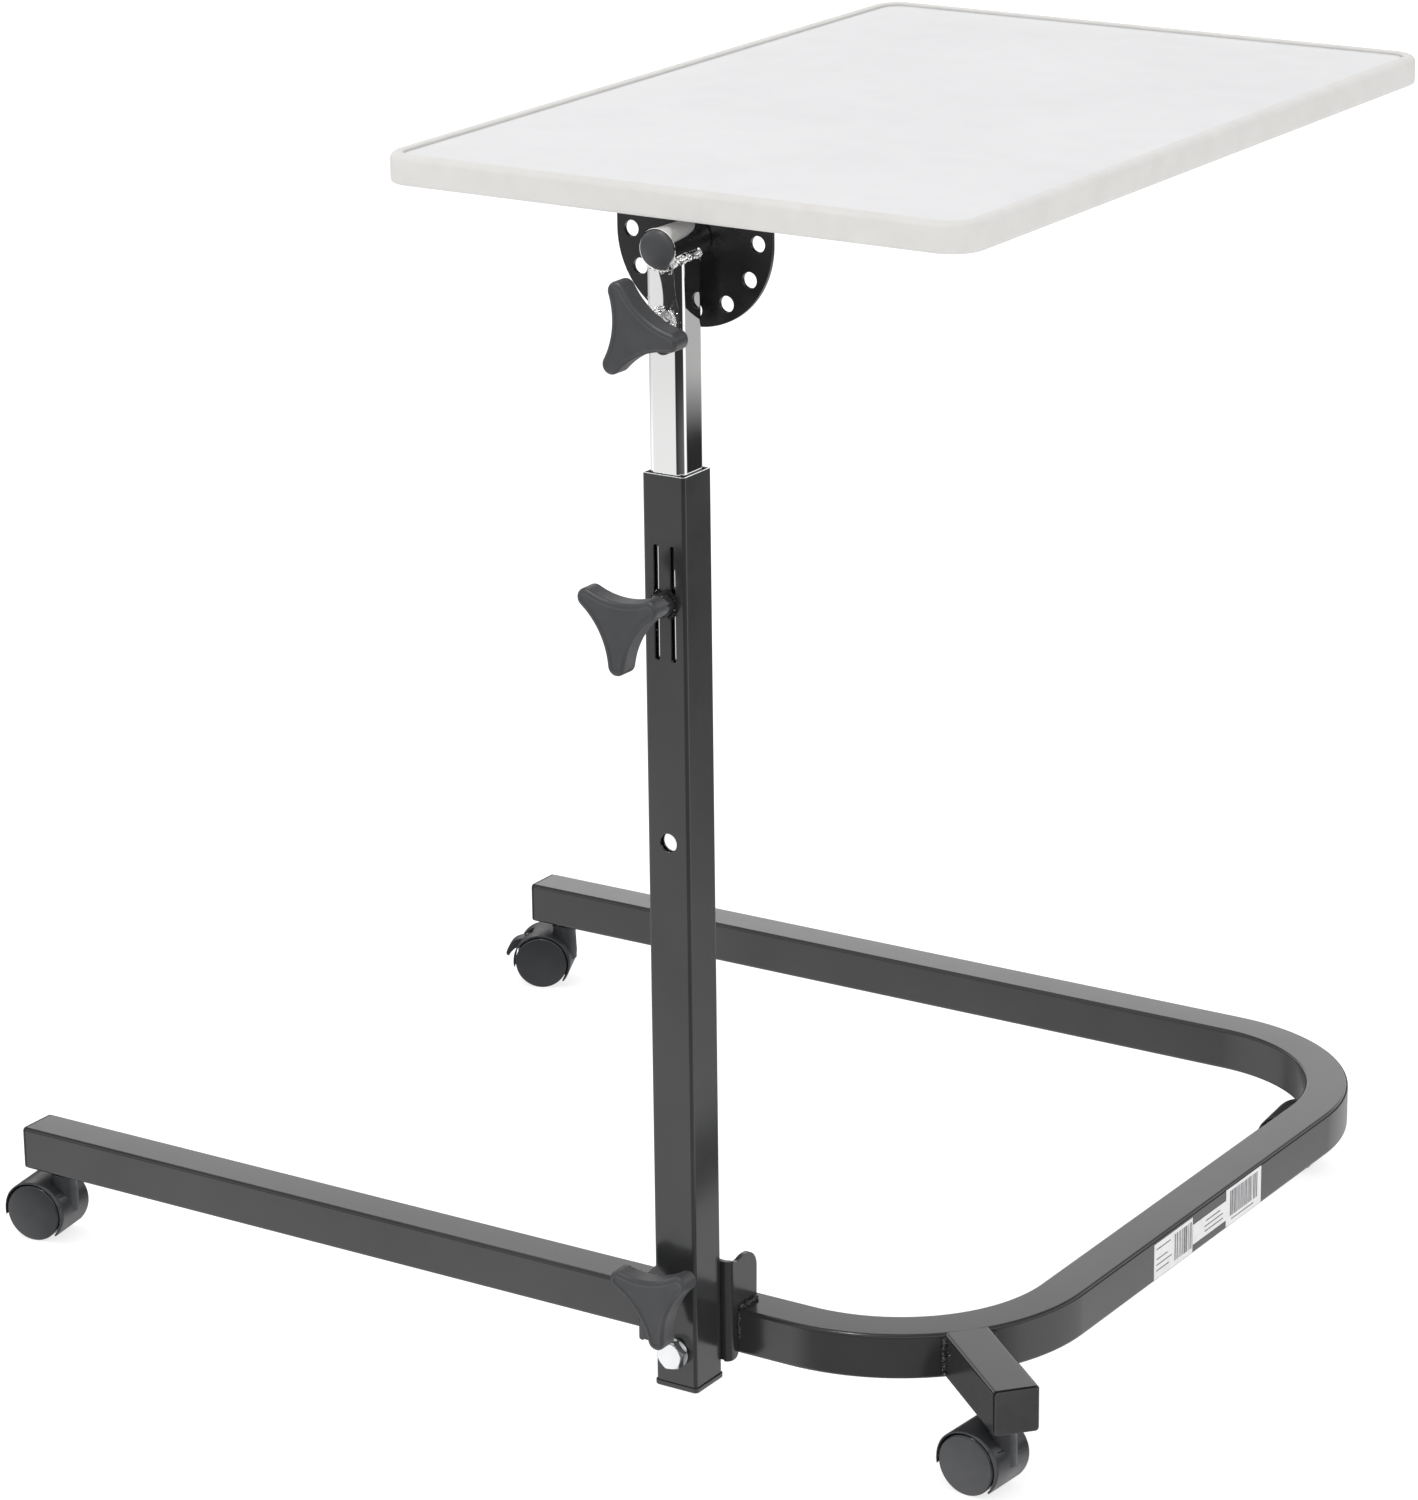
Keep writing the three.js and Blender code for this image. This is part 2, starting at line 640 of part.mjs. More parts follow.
function makeQuadrant() {
  const top = TABLE_UNDERSIDE + RIM_LEDGE_THICKNESS - TILT_Z - GAP;
  const plate = new THREE.Shape();
  plate.moveTo(QUADRANT_RADIUS, top);
  plate.lineTo(-QUADRANT_RADIUS, top);
  plate.lineTo(-QUADRANT_RADIUS, 0);
  plate.absarc(0, 0, QUADRANT_RADIUS, Math.PI, 2 * Math.PI);
  plate.closePath();
  let body = extrudeY(plate, 0, SHEET, 12);
  for (let i = 0; i < QUADRANT_HOLES; i += 1) {
    const angle = -Math.PI + (Math.PI * i) / (QUADRANT_HOLES - 1);
    const x = QUADRANT_HOLE_CIRCLE * Math.cos(angle);
    const z = QUADRANT_HOLE_CIRCLE * Math.sin(angle);
    body = cut(body, barY(QUADRANT_HOLE_RADIUS, -1, SHEET + 1, x, z, 20));
  }
  return body;
}

const supportWidth = 2 * QUADRANT_RADIUS;
const supportLength = 440;
const supportDepth = 9;
const supportTop = TABLE_UNDERSIDE + RIM_LEDGE_THICKNESS;
const screwPlaces = [
  [-40, 40],
  [40, 40],
  [-40, supportLength - 40],
  [40, supportLength - 40],
];

// A shallow channel under the board, open downwards.
function makeSupport() {
  const half = supportWidth / 2;
  const profile = new THREE.Shape();
  profile.moveTo(-half, 0);
  profile.lineTo(-half, -supportDepth);
  profile.lineTo(-half + SHEET, -supportDepth);
  profile.lineTo(-half + SHEET, -SHEET);
  profile.lineTo(half - SHEET, -SHEET);
  profile.lineTo(half - SHEET, -supportDepth);
  profile.lineTo(half, -supportDepth);
  profile.lineTo(half, 0);
  profile.closePath();
  const holes = screwPlaces.map(([x, y]) => barZ(2.6, -SHEET - 1, 1, x, y));
  return cut(extrudeY(profile, 0, supportLength), ...holes);
}

function makeTableScrew() {
  return unite(barZ(4.5, -2.6, 0, 0, 0, 16), barZ(2.1, -1, 13, 0, 0, 12));
}

function makeRim() {
  const wallTop = extrudeZ(roundedRectangle(TABLE_WIDTH, TABLE_LENGTH, TABLE_CORNER), 0, RIM_HEIGHT, 5);
  const corner = TABLE_CORNER - RIM_WIDTH;
  const well = roundedRectangle(TABLE_WIDTH - 2 * RIM_WIDTH, TABLE_LENGTH - 2 * RIM_WIDTH, corner);
  const opening = roundedRectangle(
    TABLE_WIDTH - 2 * RIM_LEDGE,
    TABLE_LENGTH - 2 * RIM_LEDGE,
    TABLE_CORNER - RIM_LEDGE,
  );
  return cut(
    wallTop,
    extrudeZ(well, RIM_LEDGE_THICKNESS, RIM_HEIGHT + 1, 5),
    extrudeZ(opening, -1, RIM_HEIGHT, 5),
  );
}

const boardBottom = RIM_LEDGE_THICKNESS + GAP;
const boardTop = RIM_HEIGHT - LIP_HEIGHT;

function makeBoard() {
  const inset = 2 * (RIM_WIDTH + GAP);
  const outline = roundedRectangle(
    TABLE_WIDTH - inset,
    TABLE_LENGTH - inset,
    TABLE_CORNER - RIM_WIDTH - GAP,
  );
  const screwHoles = screwPlaces.map(([x, y]) => {
    const fromMiddle = MAST_LEG_Y + 0.3 + y - (TABLE_NEAR_Y + TABLE_LENGTH / 2);
    return barZ(2.4, boardBottom - 1, boardBottom + 11.5, x + MAST_X - TABLE_X, fromMiddle, 12);
  });
  return cut(extrudeZ(outline, boardBottom, boardTop, 5), ...screwHoles);
}

const tabletop = new THREE.Group();
const quadrant = piece('quadrant_plate', makeQuadrant(), blackSteel);
quadrant.position.set(MAST_X, QUADRANT_FRONT, TILT_Z);
tabletop.add(quadrant);

const shaftLength = headTubeBack - headTubeFront - 4;
const shaft = barY(HEAD_TUBE_RADIUS - 2 - GAP, -shaftLength, 0, 0, 0, FINE);
const tiltShaft = piece('tilt_shaft', shaft, zinc);
tiltShaft.position.set(MAST_X, QUADRANT_FRONT - 0.1, TILT_Z);
tabletop.add(tiltShaft);

const support = piece('support_channel', makeSupport(), blackSteel);
support.position.set(MAST_X, MAST_LEG_Y + 0.3, supportTop);
tabletop.add(support);

screwPlaces.forEach(([x, y], i) => {
  const screw = piece(`support_screw_${i + 1}`, makeTableScrew(), zinc);
  screw.position.set(MAST_X + x, MAST_LEG_Y + 0.3 + y, supportTop - SHEET - 0.1);
  tabletop.add(screw);
});

const top = new THREE.Group();
top.position.set(TABLE_X, TABLE_NEAR_Y + TABLE_LENGTH / 2, TABLE_UNDERSIDE);
top.add(piece('tabletop_rim', makeRim(), rimPlastic));
top.add(piece('tabletop_board', makeBoard(), laminate));
tabletop.add(top);

// ---- casters: drawn with the stem on Z and the axle trailing towards -X ----

const webHalf = 5.5;
const hoodFront = -40; // degrees around the axle, from +X
const hoodBack = 166;
const brakeWindow = [112, 172];
const brakePivotRadius = 14;
const brakePivotAngle = 140;

function sector(outer, inner, from, to) {
  const shape = new THREE.Shape();
  shape.absarc(0, 0, outer, radians(from), radians(to));
  if (inner > 0) shape.absarc(0, 0, inner, radians(to), radians(from), true);
  else shape.lineTo(0, 0);
  shape.closePath();
  return shape;
}

function makeHood(brake) {
  const atAxle = [-CASTER_TRAIL, 0, WHEEL_RADIUS];
  const half = HOOD_WIDTH / 2;
  const shell = extrudeY(sector(HOOD_RADIUS, HOOD_RADIUS - HOOD_WALL, hoodFront, hoodBack), -half, half, 10);
  const web = extrudeY(sector(HOOD_RADIUS - 0.5, 0, hoodFront, hoodBack), -webHalf, webHalf, 10);
  const hub = barY(6, -webHalf, webHalf);
  let body = unite(shell, web, hub);
  if (brake) body = cut(body, extrudeY(sector(HOOD_RADIUS + 2, 8.5, ...brakeWindow), -6, 6, 8));
  const wheelSpace = [-half, webHalf].map((y) => {
    return barY(HOOD_RADIUS - HOOD_WALL, y, y + half - webHalf, -CASTER_TRAIL, WHEEL_RADIUS, FINE);
  });
  const boss = cut(barZ(8.5, 30, 46.8), ...wheelSpace);
  const placed = unite(body.translate(atAxle), boss);
  const axleHole = barY(AXLE_RADIUS + GAP, -half, half, -CASTER_TRAIL, WHEEL_RADIUS);
  return cut(placed, barZ(STEM_RADIUS + GAP, 16, 60), axleHole);
}

function makeStem() {
  return unite(barZ(STEM_RADIUS, 27, TUBE_UNDERSIDE + 16), barZ(8, 47.2, TUBE_UNDERSIDE - 0.2));
}

// A wheel on the +Y side of the web, with a blind bore. A flat of its polygon rests on the floor.
function makeWheel() {
  const sides = 24;
  const rim = WHEEL_RADIUS / Math.cos(Math.PI / sides);
  const edge = 1.6;
  const boreDepth = 8;
  const profile = [
    [0, boreDepth],
    [AXLE_RADIUS + GAP, boreDepth],
    [AXLE_RADIUS + GAP, 0],
    [rim, 0],
    [rim, WHEEL_WIDTH - edge],
    [rim - edge, WHEEL_WIDTH],
    [0, WHEEL_WIDTH],
  ];
  const points = profile.map(([radius, y]) => new THREE.Vector2(radius, y));
  return solid(new THREE.LatheGeometry(points, sides).rotateY(Math.PI / sides));
}

// A curved pedal that leaves the hood's window and points down behind it.
function makeBrakeLever() {
  const pedal = new THREE.Shape();
  pedal.absarc(0, 0, 3.4, radians(-120), radians(60), true);
  pedal.lineTo(-4.5, 6.4);
  pedal.quadraticCurveTo(-15.5, 5.5, -18.6, -6);
  pedal.lineTo(-16.4, -8.2);
  pedal.quadraticCurveTo(-12.5, -0.6, -6, -0.6);
  pedal.closePath();
  return cut(extrudeY(pedal, -webHalf + 0.2, webHalf - 0.2, 5), barY(1.6, -10, 10));
}

const casters = new THREE.Group();
for (const { name, x, y, turn, brake } of casterPlaces) {
  const stem = piece(`${name}_caster_stem`, makeStem(), zinc);
  stem.position.set(x, y, 0);
  casters.add(stem);

  const swivel = new THREE.Group();
  swivel.position.set(x, y, 0);
  swivel.rotation.z = radians(turn);
  swivel.add(piece(`${name}_caster_hood`, makeHood(brake), blackPlastic));

  const axle = piece(`${name}_caster_axle`, barY(AXLE_RADIUS, -AXLE_LENGTH / 2, AXLE_LENGTH / 2), zinc);
  axle.position.set(-CASTER_TRAIL, 0, WHEEL_RADIUS);
  swivel.add(axle);

  for (const [side, facing] of [['inner', 0], ['outer', Math.PI]]) {
    const wheel = piece(`${name}_wheel_${side}`, makeWheel(), blackPlastic);
    wheel.position.set(-CASTER_TRAIL, facing ? -webHalf - GAP : webHalf + GAP, WHEEL_RADIUS);
    wheel.rotation.z = facing;
    swivel.add(wheel);
  }
  if (brake) {
    const lever = piece(`${name}_brake_lever`, makeBrakeLever(), blackPlastic);
    lever.position.set(
      -CASTER_TRAIL + brakePivotRadius * Math.cos(radians(brakePivotAngle)),
      0,
      WHEEL_RADIUS + brakePivotRadius * Math.sin(radians(brakePivotAngle)),
    );
    swivel.add(lever);
  }
  casters.add(swivel);
}

const overbedTable = new THREE.Group();
overbedTable.add(base, mast, inner, tabletop, casters);

export default overbedTable;
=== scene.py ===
# Overbed table: the detailed visual model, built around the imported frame. Lengths are millimetres
# until a mesh is made; Blender's objects are in metres, in the frame's own axes.
import math
import random

import bmesh
import bpy
from mathutils import Matrix, Vector, noise


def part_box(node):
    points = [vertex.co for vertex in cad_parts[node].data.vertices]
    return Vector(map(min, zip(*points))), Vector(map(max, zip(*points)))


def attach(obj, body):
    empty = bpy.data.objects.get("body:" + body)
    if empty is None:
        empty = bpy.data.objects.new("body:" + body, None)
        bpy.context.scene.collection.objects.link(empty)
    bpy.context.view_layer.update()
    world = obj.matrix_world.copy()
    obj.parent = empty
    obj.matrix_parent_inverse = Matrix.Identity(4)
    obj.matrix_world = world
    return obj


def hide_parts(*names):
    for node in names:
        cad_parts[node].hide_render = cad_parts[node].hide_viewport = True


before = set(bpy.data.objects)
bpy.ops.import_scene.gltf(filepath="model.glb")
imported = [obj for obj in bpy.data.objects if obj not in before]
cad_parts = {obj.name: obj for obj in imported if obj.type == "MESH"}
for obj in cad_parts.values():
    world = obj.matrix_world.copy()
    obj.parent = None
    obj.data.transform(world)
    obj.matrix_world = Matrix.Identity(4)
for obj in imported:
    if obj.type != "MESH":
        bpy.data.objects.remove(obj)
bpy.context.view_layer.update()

MM = 0.001
UP = Vector((0, 0, 1))
GAP = 0.3

# ---- places and sizes read from the frame ----


def corners(node):
    low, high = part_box(node)
    return low / MM, high / MM


def middle(node):
    low, high = corners(node)
    return (low + high) / 2


BASE_LOW, BASE_HIGH = corners("base_frame")
TUBE = BASE_HIGH.z - BASE_LOW.z
HALF = TUBE / 2
TUBE_AXIS_Z = BASE_LOW.z + HALF
CROSS_BAR_X = BASE_HIGH.x
MAST_LEG_Y = BASE_LOW.y
MAST_LEG_AXIS_Y = BASE_LOW.y + HALF
FAR_LEG_AXIS_Y = BASE_HIGH.y - HALF
TUBE_CORNER = 2.3
BEND_RADIUS = 120
PLUG_HEAD = 1.8
BEND_X = CROSS_BAR_X - BEND_RADIUS - HALF
NEAR_BEND = Vector((BEND_X, MAST_LEG_AXIS_Y + BEND_RADIUS, TUBE_AXIS_Z))
FAR_BEND = Vector((BEND_X, FAR_LEG_AXIS_Y - BEND_RADIUS, TUBE_AXIS_Z))
MAST_LEG_END_X = BASE_LOW.x
FAR_LEG_END_X = corners("far_leg_plug")[0].x + PLUG_HEAD + GAP

MAST_LOW, MAST_HIGH = corners("outer_mast")
MAST = Vector(((MAST_LOW.x + MAST_HIGH.x) / 2, (MAST_LOW.y + MAST_HIGH.y) / 2, 0))
PIVOT_Z = middle("pivot_washer").z
LOCK_Z = middle("lean_lock_washer").z
PIVOT_HOLE = 5.3
LOCK_HOLE = 4.4
NUT_BORE = 4.2
HEIGHT_SCREW_Z = middle("height_screw").z
TILT_PIN_Z = middle("tilt_pin").z
SPARE_HOLE_Z = HEIGHT_SCREW_Z - 151
INNER_LOW, INNER_HIGH = corners("inner_mast")
HALF_INNER = (INNER_HIGH.x - INNER_LOW.x) / 2
HEAD_LOW, HEAD_HIGH = corners("head_tube")
HEAD_RADIUS = (HEAD_HIGH.x - HEAD_LOW.x) / 2
TILT_Z = (HEAD_LOW.z + HEAD_HIGH.z) / 2
TABLE_CORNER = 21

# ---- mesh building: a part is a list of vertices and a list of faces ----


def rounded_rectangle(width, height, corner, steps=7):
    outline = []
    for sx, sy, start in ((1, 1, 0), (-1, 1, 90), (-1, -1, 180), (1, -1, 270)):
        for i in range(steps + 1):
            angle = math.radians(start + 90 * i / steps)
            x = sx * (width / 2 - corner) + corner * math.cos(angle)
            y = sy * (height / 2 - corner) + corner * math.sin(angle)
            outline.append((x, y))
    return outline


def circle(radius, sides=48):
    turns = (2 * math.pi * i / sides for i in range(sides))
    return [(radius * math.cos(t), radius * math.sin(t)) for t in turns]


def loft(rings, looped=False):
    """Joins rings of equal length. The first and last are capped, or joined when looped."""
    count = len(rings[0])
    vertices = [Vector(point) for ring in rings for point in ring]
    faces = []
    for i in range(len(rings) if looped else len(rings) - 1):
        here, there = i * count, (i + 1) % len(rings) * count
        for j in range(count):
            k = (j + 1) % count
            faces.append((here + j, here + k, there + k, there + j))
    if not looped:
        last = (len(rings) - 1) * count
        faces.append(tuple(reversed(range(count))))
        faces.append(tuple(range(last, last + count)))
    return vertices, faces


def quarter(steps, first=0):
    """The (cosine, sine) of steps from 0 to 90 degrees."""
    turns = [math.radians(90 * i / steps) for i in range(first, steps + 1)]
    return [(math.cos(t), math.sin(t)) for t in turns]


def prism(outline, z0, z1):
    return loft([[(x, y, z) for x, y in outline] for z in (z0, z1)])


def turned(profile, sides=64, looped=False):
    """A solid of revolution about Z. The profile holds (radius, z)."""
    return loft([[(x, y, z) for x, y in circle(radius, sides)] for radius, z in profile], looped)


def placed(part, matrix):
    return [matrix @ v for v in part[0]], part[1]


def joined(*parts):
    vertices, faces = [], []
    for part_vertices, part_faces in parts:
        shift = len(vertices)
        vertices += part_vertices
        faces += [tuple(i + shift for i in face) for face in part_faces]
    return vertices, faces


def at(x, y, z):
    return Matrix.Translation((x, y, z))


def about(axis, degrees):
    return Matrix.Rotation(math.radians(degrees), 4, axis)


def facing_front(y, z, angle=0):
    """On the mast's middle: local Z points to the front, local Y up, turned anticlockwise as seen."""
    turn = about("Y", -angle) @ about("X", 90)
    return at(MAST.x, y, z) @ turn


def facing_back(y, z):
    """On the mast's middle: local Z points to the back."""
    return at(MAST.x, y, z) @ about("X", -90)


# Local X stays X and local Y becomes Z, so an outline drawn in (x, z) is extruded along -Y.
TO_XZ = about("X", 90)
# Local X becomes Y and local Y becomes Z, so an outline drawn in (y, z) is extruded along X.
TO_YZ = Matrix(((0, 0, 1, 0), (1, 0, 0, 0), (0, 1, 0, 0), (0, 0, 0, 1)))


def plate_xz(outline, y0, y1):
    return placed(prism(outline, -y1, -y0), TO_XZ)


def plate_yz(outline, x0, x1):
    return placed(prism(outline, x0, x1), TO_YZ)


def pin_y(radius, y0, y1, z, sides=48, x=MAST.x):
    """A round bar along Y, from y0 to y1."""
    return placed(prism(circle(radius, sides), -y1, -y0), at(x, 0, z) @ TO_XZ)


def at_foot(node):
    """The place of the middle of a node's underside."""
    low, high = corners(node)
    return at((low.x + high.x) / 2, (low.y + high.y) / 2, low.z)


def rectangle_stack(node, corner, levels, steps, looped=False):
    """Rounded rectangles in a node's place, each drawn in by an inset. The levels hold (inset, z)."""
    low, high = corners(node)
    width, length = high.x - low.x, high.y - low.y
    rings = []
    for inset, z in levels:
        outline = rounded_rectangle(width - 2 * inset, length - 2 * inset, corner - inset, steps)
        rings.append([(x, y, z) for x, y in outline])
    return placed(loft(rings, looped), at_foot(node))


def linked(name, data):
    obj = bpy.data.objects.new(name, data)
    bpy.context.scene.collection.objects.link(obj)
    return obj


def new_object(name, part):
    mesh = bpy.data.meshes.new(name)
    mesh.from_pydata([v * MM for v in part[0]], [], part[1])
    shape = bmesh.new()
    shape.from_mesh(mesh)
    bmesh.ops.recalc_face_normals(shape, faces=shape.faces)
    shape.to_mesh(mesh)
    shape.free()
    return linked(name, mesh)


def apply_modifiers(obj):
    graph = bpy.context.evaluated_depsgraph_get()
    mesh = bpy.data.meshes.new_from_object(obj.evaluated_get(graph))
    old = obj.data
    obj.modifiers.clear()
    obj.data = mesh
    bpy.data.meshes.remove(old)


def combine(obj, part, operation):
    """Cuts, joins or intersects an object with a part."""
    tool = new_object(f"{obj.name}_tool", part)
    modifier = obj.modifiers.new("boolean", "BOOLEAN")
    modifier.operation = operation
    modifier.solver = "EXACT"
    modifier.object = tool
    apply_modifiers(obj)
    mesh = tool.data
    bpy.data.objects.remove(tool)
    bpy.data.meshes.remove(mesh)
    return obj


def cut(obj, part):
    return combine(obj, part, "DIFFERENCE")


def taken(obj):
    """Turns a working object back into a part, and removes it."""
    mesh = obj.data
    part = [v.co / MM for v in mesh.vertices], [tuple(p.vertices) for p in mesh.polygons]
    bpy.data.objects.remove(obj)
    bpy.data.meshes.remove(mesh)
    return part


def move(obj, matrix):
    """Moves a new object's mesh by a matrix in millimetres."""
    scaled = matrix.copy()
    scaled.translation = matrix.translation * MM
    obj.data.transform(scaled)
    return obj


def finish(obj, material, body, nodes=(), bevel=0.0, segments=3, limit=35, slot=None):
    """Gives a piece its material, its soft edges and its place in the frame."""
    if not obj.data.materials:
        obj.data.materials.append(material)
    for polygon in obj.data.polygons:
        polygon.use_smooth = True
    if bevel:
        modifier = obj.modifiers.new("bevel", "BEVEL")
        modifier.width = bevel * MM
        modifier.segments = segments
        modifier.limit_method = "ANGLE"
        modifier.angle_limit = math.radians(limit)
        modifier.use_clamp_overlap = True
    else:
        obj.data.set_sharp_from_angle(angle=math.radians(limit))
    weighted = obj.modifiers.new("normals", "WEIGHTED_NORMAL")
    weighted.keep_sharp = True
    slot = slot or SLOTS[material.name]
    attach(obj, body)
    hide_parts(*nodes)
    return obj


def piece(name, part, material, body, nodes=(), **looks):
    return finish(new_object(name, part), material, body, nodes, **looks)


# ---- materials ----

SLOTS = {}
# The noise values that get the dark and the light tone, and those that get the least and most roughness.
NOISE_TONES = (0.35, 0.65)
NOISE_LOW, NOISE_HIGH = 0.3, 0.7


def connect(tree, node, inputs):
    """Sets a node's inputs. Each is a constant, or another node's output to link."""
    for socket, value in inputs.items():
        if isinstance(value, bpy.types.NodeSocket):
            tree.links.new(value, node.inputs[socket])
        else:
            node.inputs[socket].default_value = value


def add_node(tree, kind, inputs):
    node = tree.nodes.new(f"ShaderNode{kind}")
    connect(tree, node, inputs)
    return node


def noise_value(tree, scale, detail=3.0, stretch=(1, 1, 1)):
    place = add_node(tree, "TexCoord", {}).outputs["Object"]
    mapping = add_node(tree, "Mapping", {"Scale": stretch, "Vector": place})
    inputs = {"Scale": scale, "Detail": detail, "Vector": mapping.outputs["Vector"]}
    return add_node(tree, "TexNoise", inputs).outputs["Fac"]


def surface(name, slot, colour, roughness, metallic=0.0, specular=0.5, tones=(), gloss=(), bump=()):
    """A material for a slot of the frame, with noise in its colour, roughness and grain.

    tones holds (dark, light, noise), gloss (low, high, noise) and bump (strength, depth, noise), where
    noise is a scale, and maybe a detail and a stretch.
    """
    material = bpy.data.materials.new(name)
    material.use_nodes = True
    SLOTS[material.name] = slot
    tree = material.node_tree
    principled = tree.nodes["Principled BSDF"]
    connect(tree, principled, {"Base Color": (*colour, 1), "Roughness": roughness, "Metallic": metallic,
                               "Specular IOR Level": specular})
    if tones:
        dark, light, *pattern = tones
        ramp = add_node(tree, "ValToRGB", {"Fac": noise_value(tree, *pattern)})
        for element, place, tone in zip(ramp.color_ramp.elements, NOISE_TONES, (dark, light)):
            element.position = place
            element.color = (*tone, 1)
        connect(tree, principled, {"Base Color": ramp.outputs["Color"]})
    if gloss:
        low, high, *pattern = gloss
        spread = add_node(tree, "MapRange", {
            "Value": noise_value(tree, *pattern), "From Min": NOISE_LOW, "From Max": NOISE_HIGH,
            "To Min": low, "To Max": high,
        })
        connect(tree, principled, {"Roughness": spread.outputs["Result"]})
    if bump:
        strength, depth, *pattern = bump
        height = noise_value(tree, *pattern)
        node = add_node(tree, "Bump", {"Strength": strength, "Distance": depth * MM, "Height": height})
        connect(tree, principled, {"Normal": node.outputs["Normal"]})
    return material


def chrome_plate(name, bump=()):
    return surface(name, "chrome_plated_steel", (0.86, 0.86, 0.855), 0.06, 1.0,
                   gloss=(0.03, 0.06, 30, 4, (1, 1, 0.2)), bump=bump)


def plastic(name, slot, dark, light, roughness, grain=0.03, specular=0.5):
    """A moulded plastic with a fine grain."""
    return surface(name, slot, dark, roughness, 0.0, specular, (dark, light, 60),
                   (roughness - 0.05, roughness + 0.05, 90), (0.3, grain, 1800, 2))


POWDER = surface(
    "black_powder_coat", "black_powder_coat", (0.025, 0.0253, 0.026), 0.17,
    tones=((0.022, 0.0223, 0.023), (0.028, 0.0283, 0.029), 14, 4), gloss=(0.15, 0.19, 45))
POWDER_WELD = surface("black_powder_weld", "black_powder_coat", (0.02, 0.02, 0.021), 0.1,
                      gloss=(0.06, 0.16, 300))
CHROME = chrome_plate("chrome")
CHROME_WELD = chrome_plate("chrome_weld", (0.6, 0.25, 700, 3))
ZINC = surface(
    "zinc_plate", "zinc_plated_steel", (0.72, 0.73, 0.74), 0.25, 1.0,
    tones=((0.71, 0.72, 0.73), (0.73, 0.74, 0.75), 300), gloss=(0.22, 0.26, 120))
KNOB_PLASTIC = plastic(
    "knob_plastic", "knob_plastic", (0.044, 0.045, 0.048), (0.052, 0.053, 0.057), 0.44, 0.03, 0.4)
# A darker copy of the black powder coat. The quadrant's colour is painted shade, for the shade that falls on
# it under the tabletop.
QUADRANT_SHADED_POWDER = plastic(
    "quadrant_powder_painted_shade", "black_powder_coat", (0.008, 0.008, 0.009), (0.011, 0.011, 0.012), 0.3, 0.01)
BLACK_PLASTIC = plastic(
    "black_plastic", "black_plastic", (0.03, 0.03, 0.032), (0.038, 0.038, 0.04), 0.42)
WHEEL_PLASTIC = plastic(
    "wheel_plastic", "caster_plastic", (0.027, 0.028, 0.031), (0.032, 0.033, 0.036), 0.2, 0.004)
CASTER_PLASTIC = plastic(
    "caster_plastic", "caster_plastic", (0.029, 0.03, 0.033), (0.034, 0.035, 0.038), 0.36, 0.008, 0.35)
RIM_PLASTIC = plastic(
    "rim_plastic", "rim_plastic", (0.63, 0.62, 0.605), (0.655, 0.645, 0.63), 0.5, 0.01, 0.15)
LAMINATE = surface(
    "laminate", "tabletop_laminate", (0.655, 0.655, 0.667), 0.45, specular=0.2,
    tones=((0.645, 0.645, 0.656), (0.665, 0.665, 0.676), 9, 5), gloss=(0.3, 0.4, 35),
    bump=(0.25, 0.03, 1100, 3))
LABEL_PAPER = surface(
    "label_paper", "tabletop_laminate", (0.74, 0.74, 0.75), 0.5,
    tones=((0.71, 0.71, 0.72), (0.77, 0.77, 0.77), 120))
LABEL_INK = surface(
    "label_ink", "knob_plastic", (0.17, 0.17, 0.18), 0.5,
    tones=((0.13, 0.13, 0.14), (0.2, 0.2, 0.21), 500))

# ---- base frame ----


TUBE_SECTION = rounded_rectangle(TUBE, TUBE, TUBE_CORNER, 6)


def base_stations():
    """Points along the bent tube, each with its direction to the outside and how much it is bent."""
    steps = 28
    stations = [(Vector((MAST_LEG_END_X, MAST_LEG_AXIS_Y, TUBE_AXIS_Z)), Vector((0, -1, 0)), 0.0)]
    for centre, start in ((NEAR_BEND, -90), (FAR_BEND, 0)):
        for i in range(steps + 1):
            angle = math.radians(start + 90 * i / steps)
            outside = Vector((math.cos(angle), math.sin(angle), 0))
            stations.append((centre + BEND_RADIUS * outside, outside, math.sin(math.pi * i / steps)))
    stations.append((Vector((FAR_LEG_END_X, FAR_LEG_AXIS_Y, TUBE_AXIS_Z)), Vector((0, 1, 0)), 0.0))
    return stations


def bent_section(point, outside, bending):
    """The tube's section, whose inner wall is pulled in a little where the tube was bent."""
    ring = []
    depth = 1.4 * bending
    for u, v in TUBE_SECTION:
        inside = max(0.0, -u / HALF)
        hollow = depth * inside**3 * (1 - 0.6 * (v / HALF) ** 2)
        ring.append(point + outside * (u + hollow) + UP * v)
    return ring


def make_base_frame():
    rings = [bent_section(*station) for station in base_stations()]
    piece("base_tube", loft(rings), POWDER, "base", ["base_frame"])


OUTRIGGER_STEM = middle("outrigger_caster_stem")
TOWARDS_OUTRIGGER = Vector((OUTRIGGER_STEM.x - NEAR_BEND.x, OUTRIGGER_STEM.y - NEAR_BEND.y, 0))
OUTRIGGER_END = TOWARDS_OUTRIGGER.length + 23
OUTRIGGER_ANGLE = math.atan2(TOWARDS_OUTRIGGER.y, TOWARDS_OUTRIGGER.x)
OUTRIGGER_FRAME = at(*NEAR_BEND) @ Matrix.Rotation(OUTRIGGER_ANGLE, 4, "Z")


BEAD_STEP = 0.55


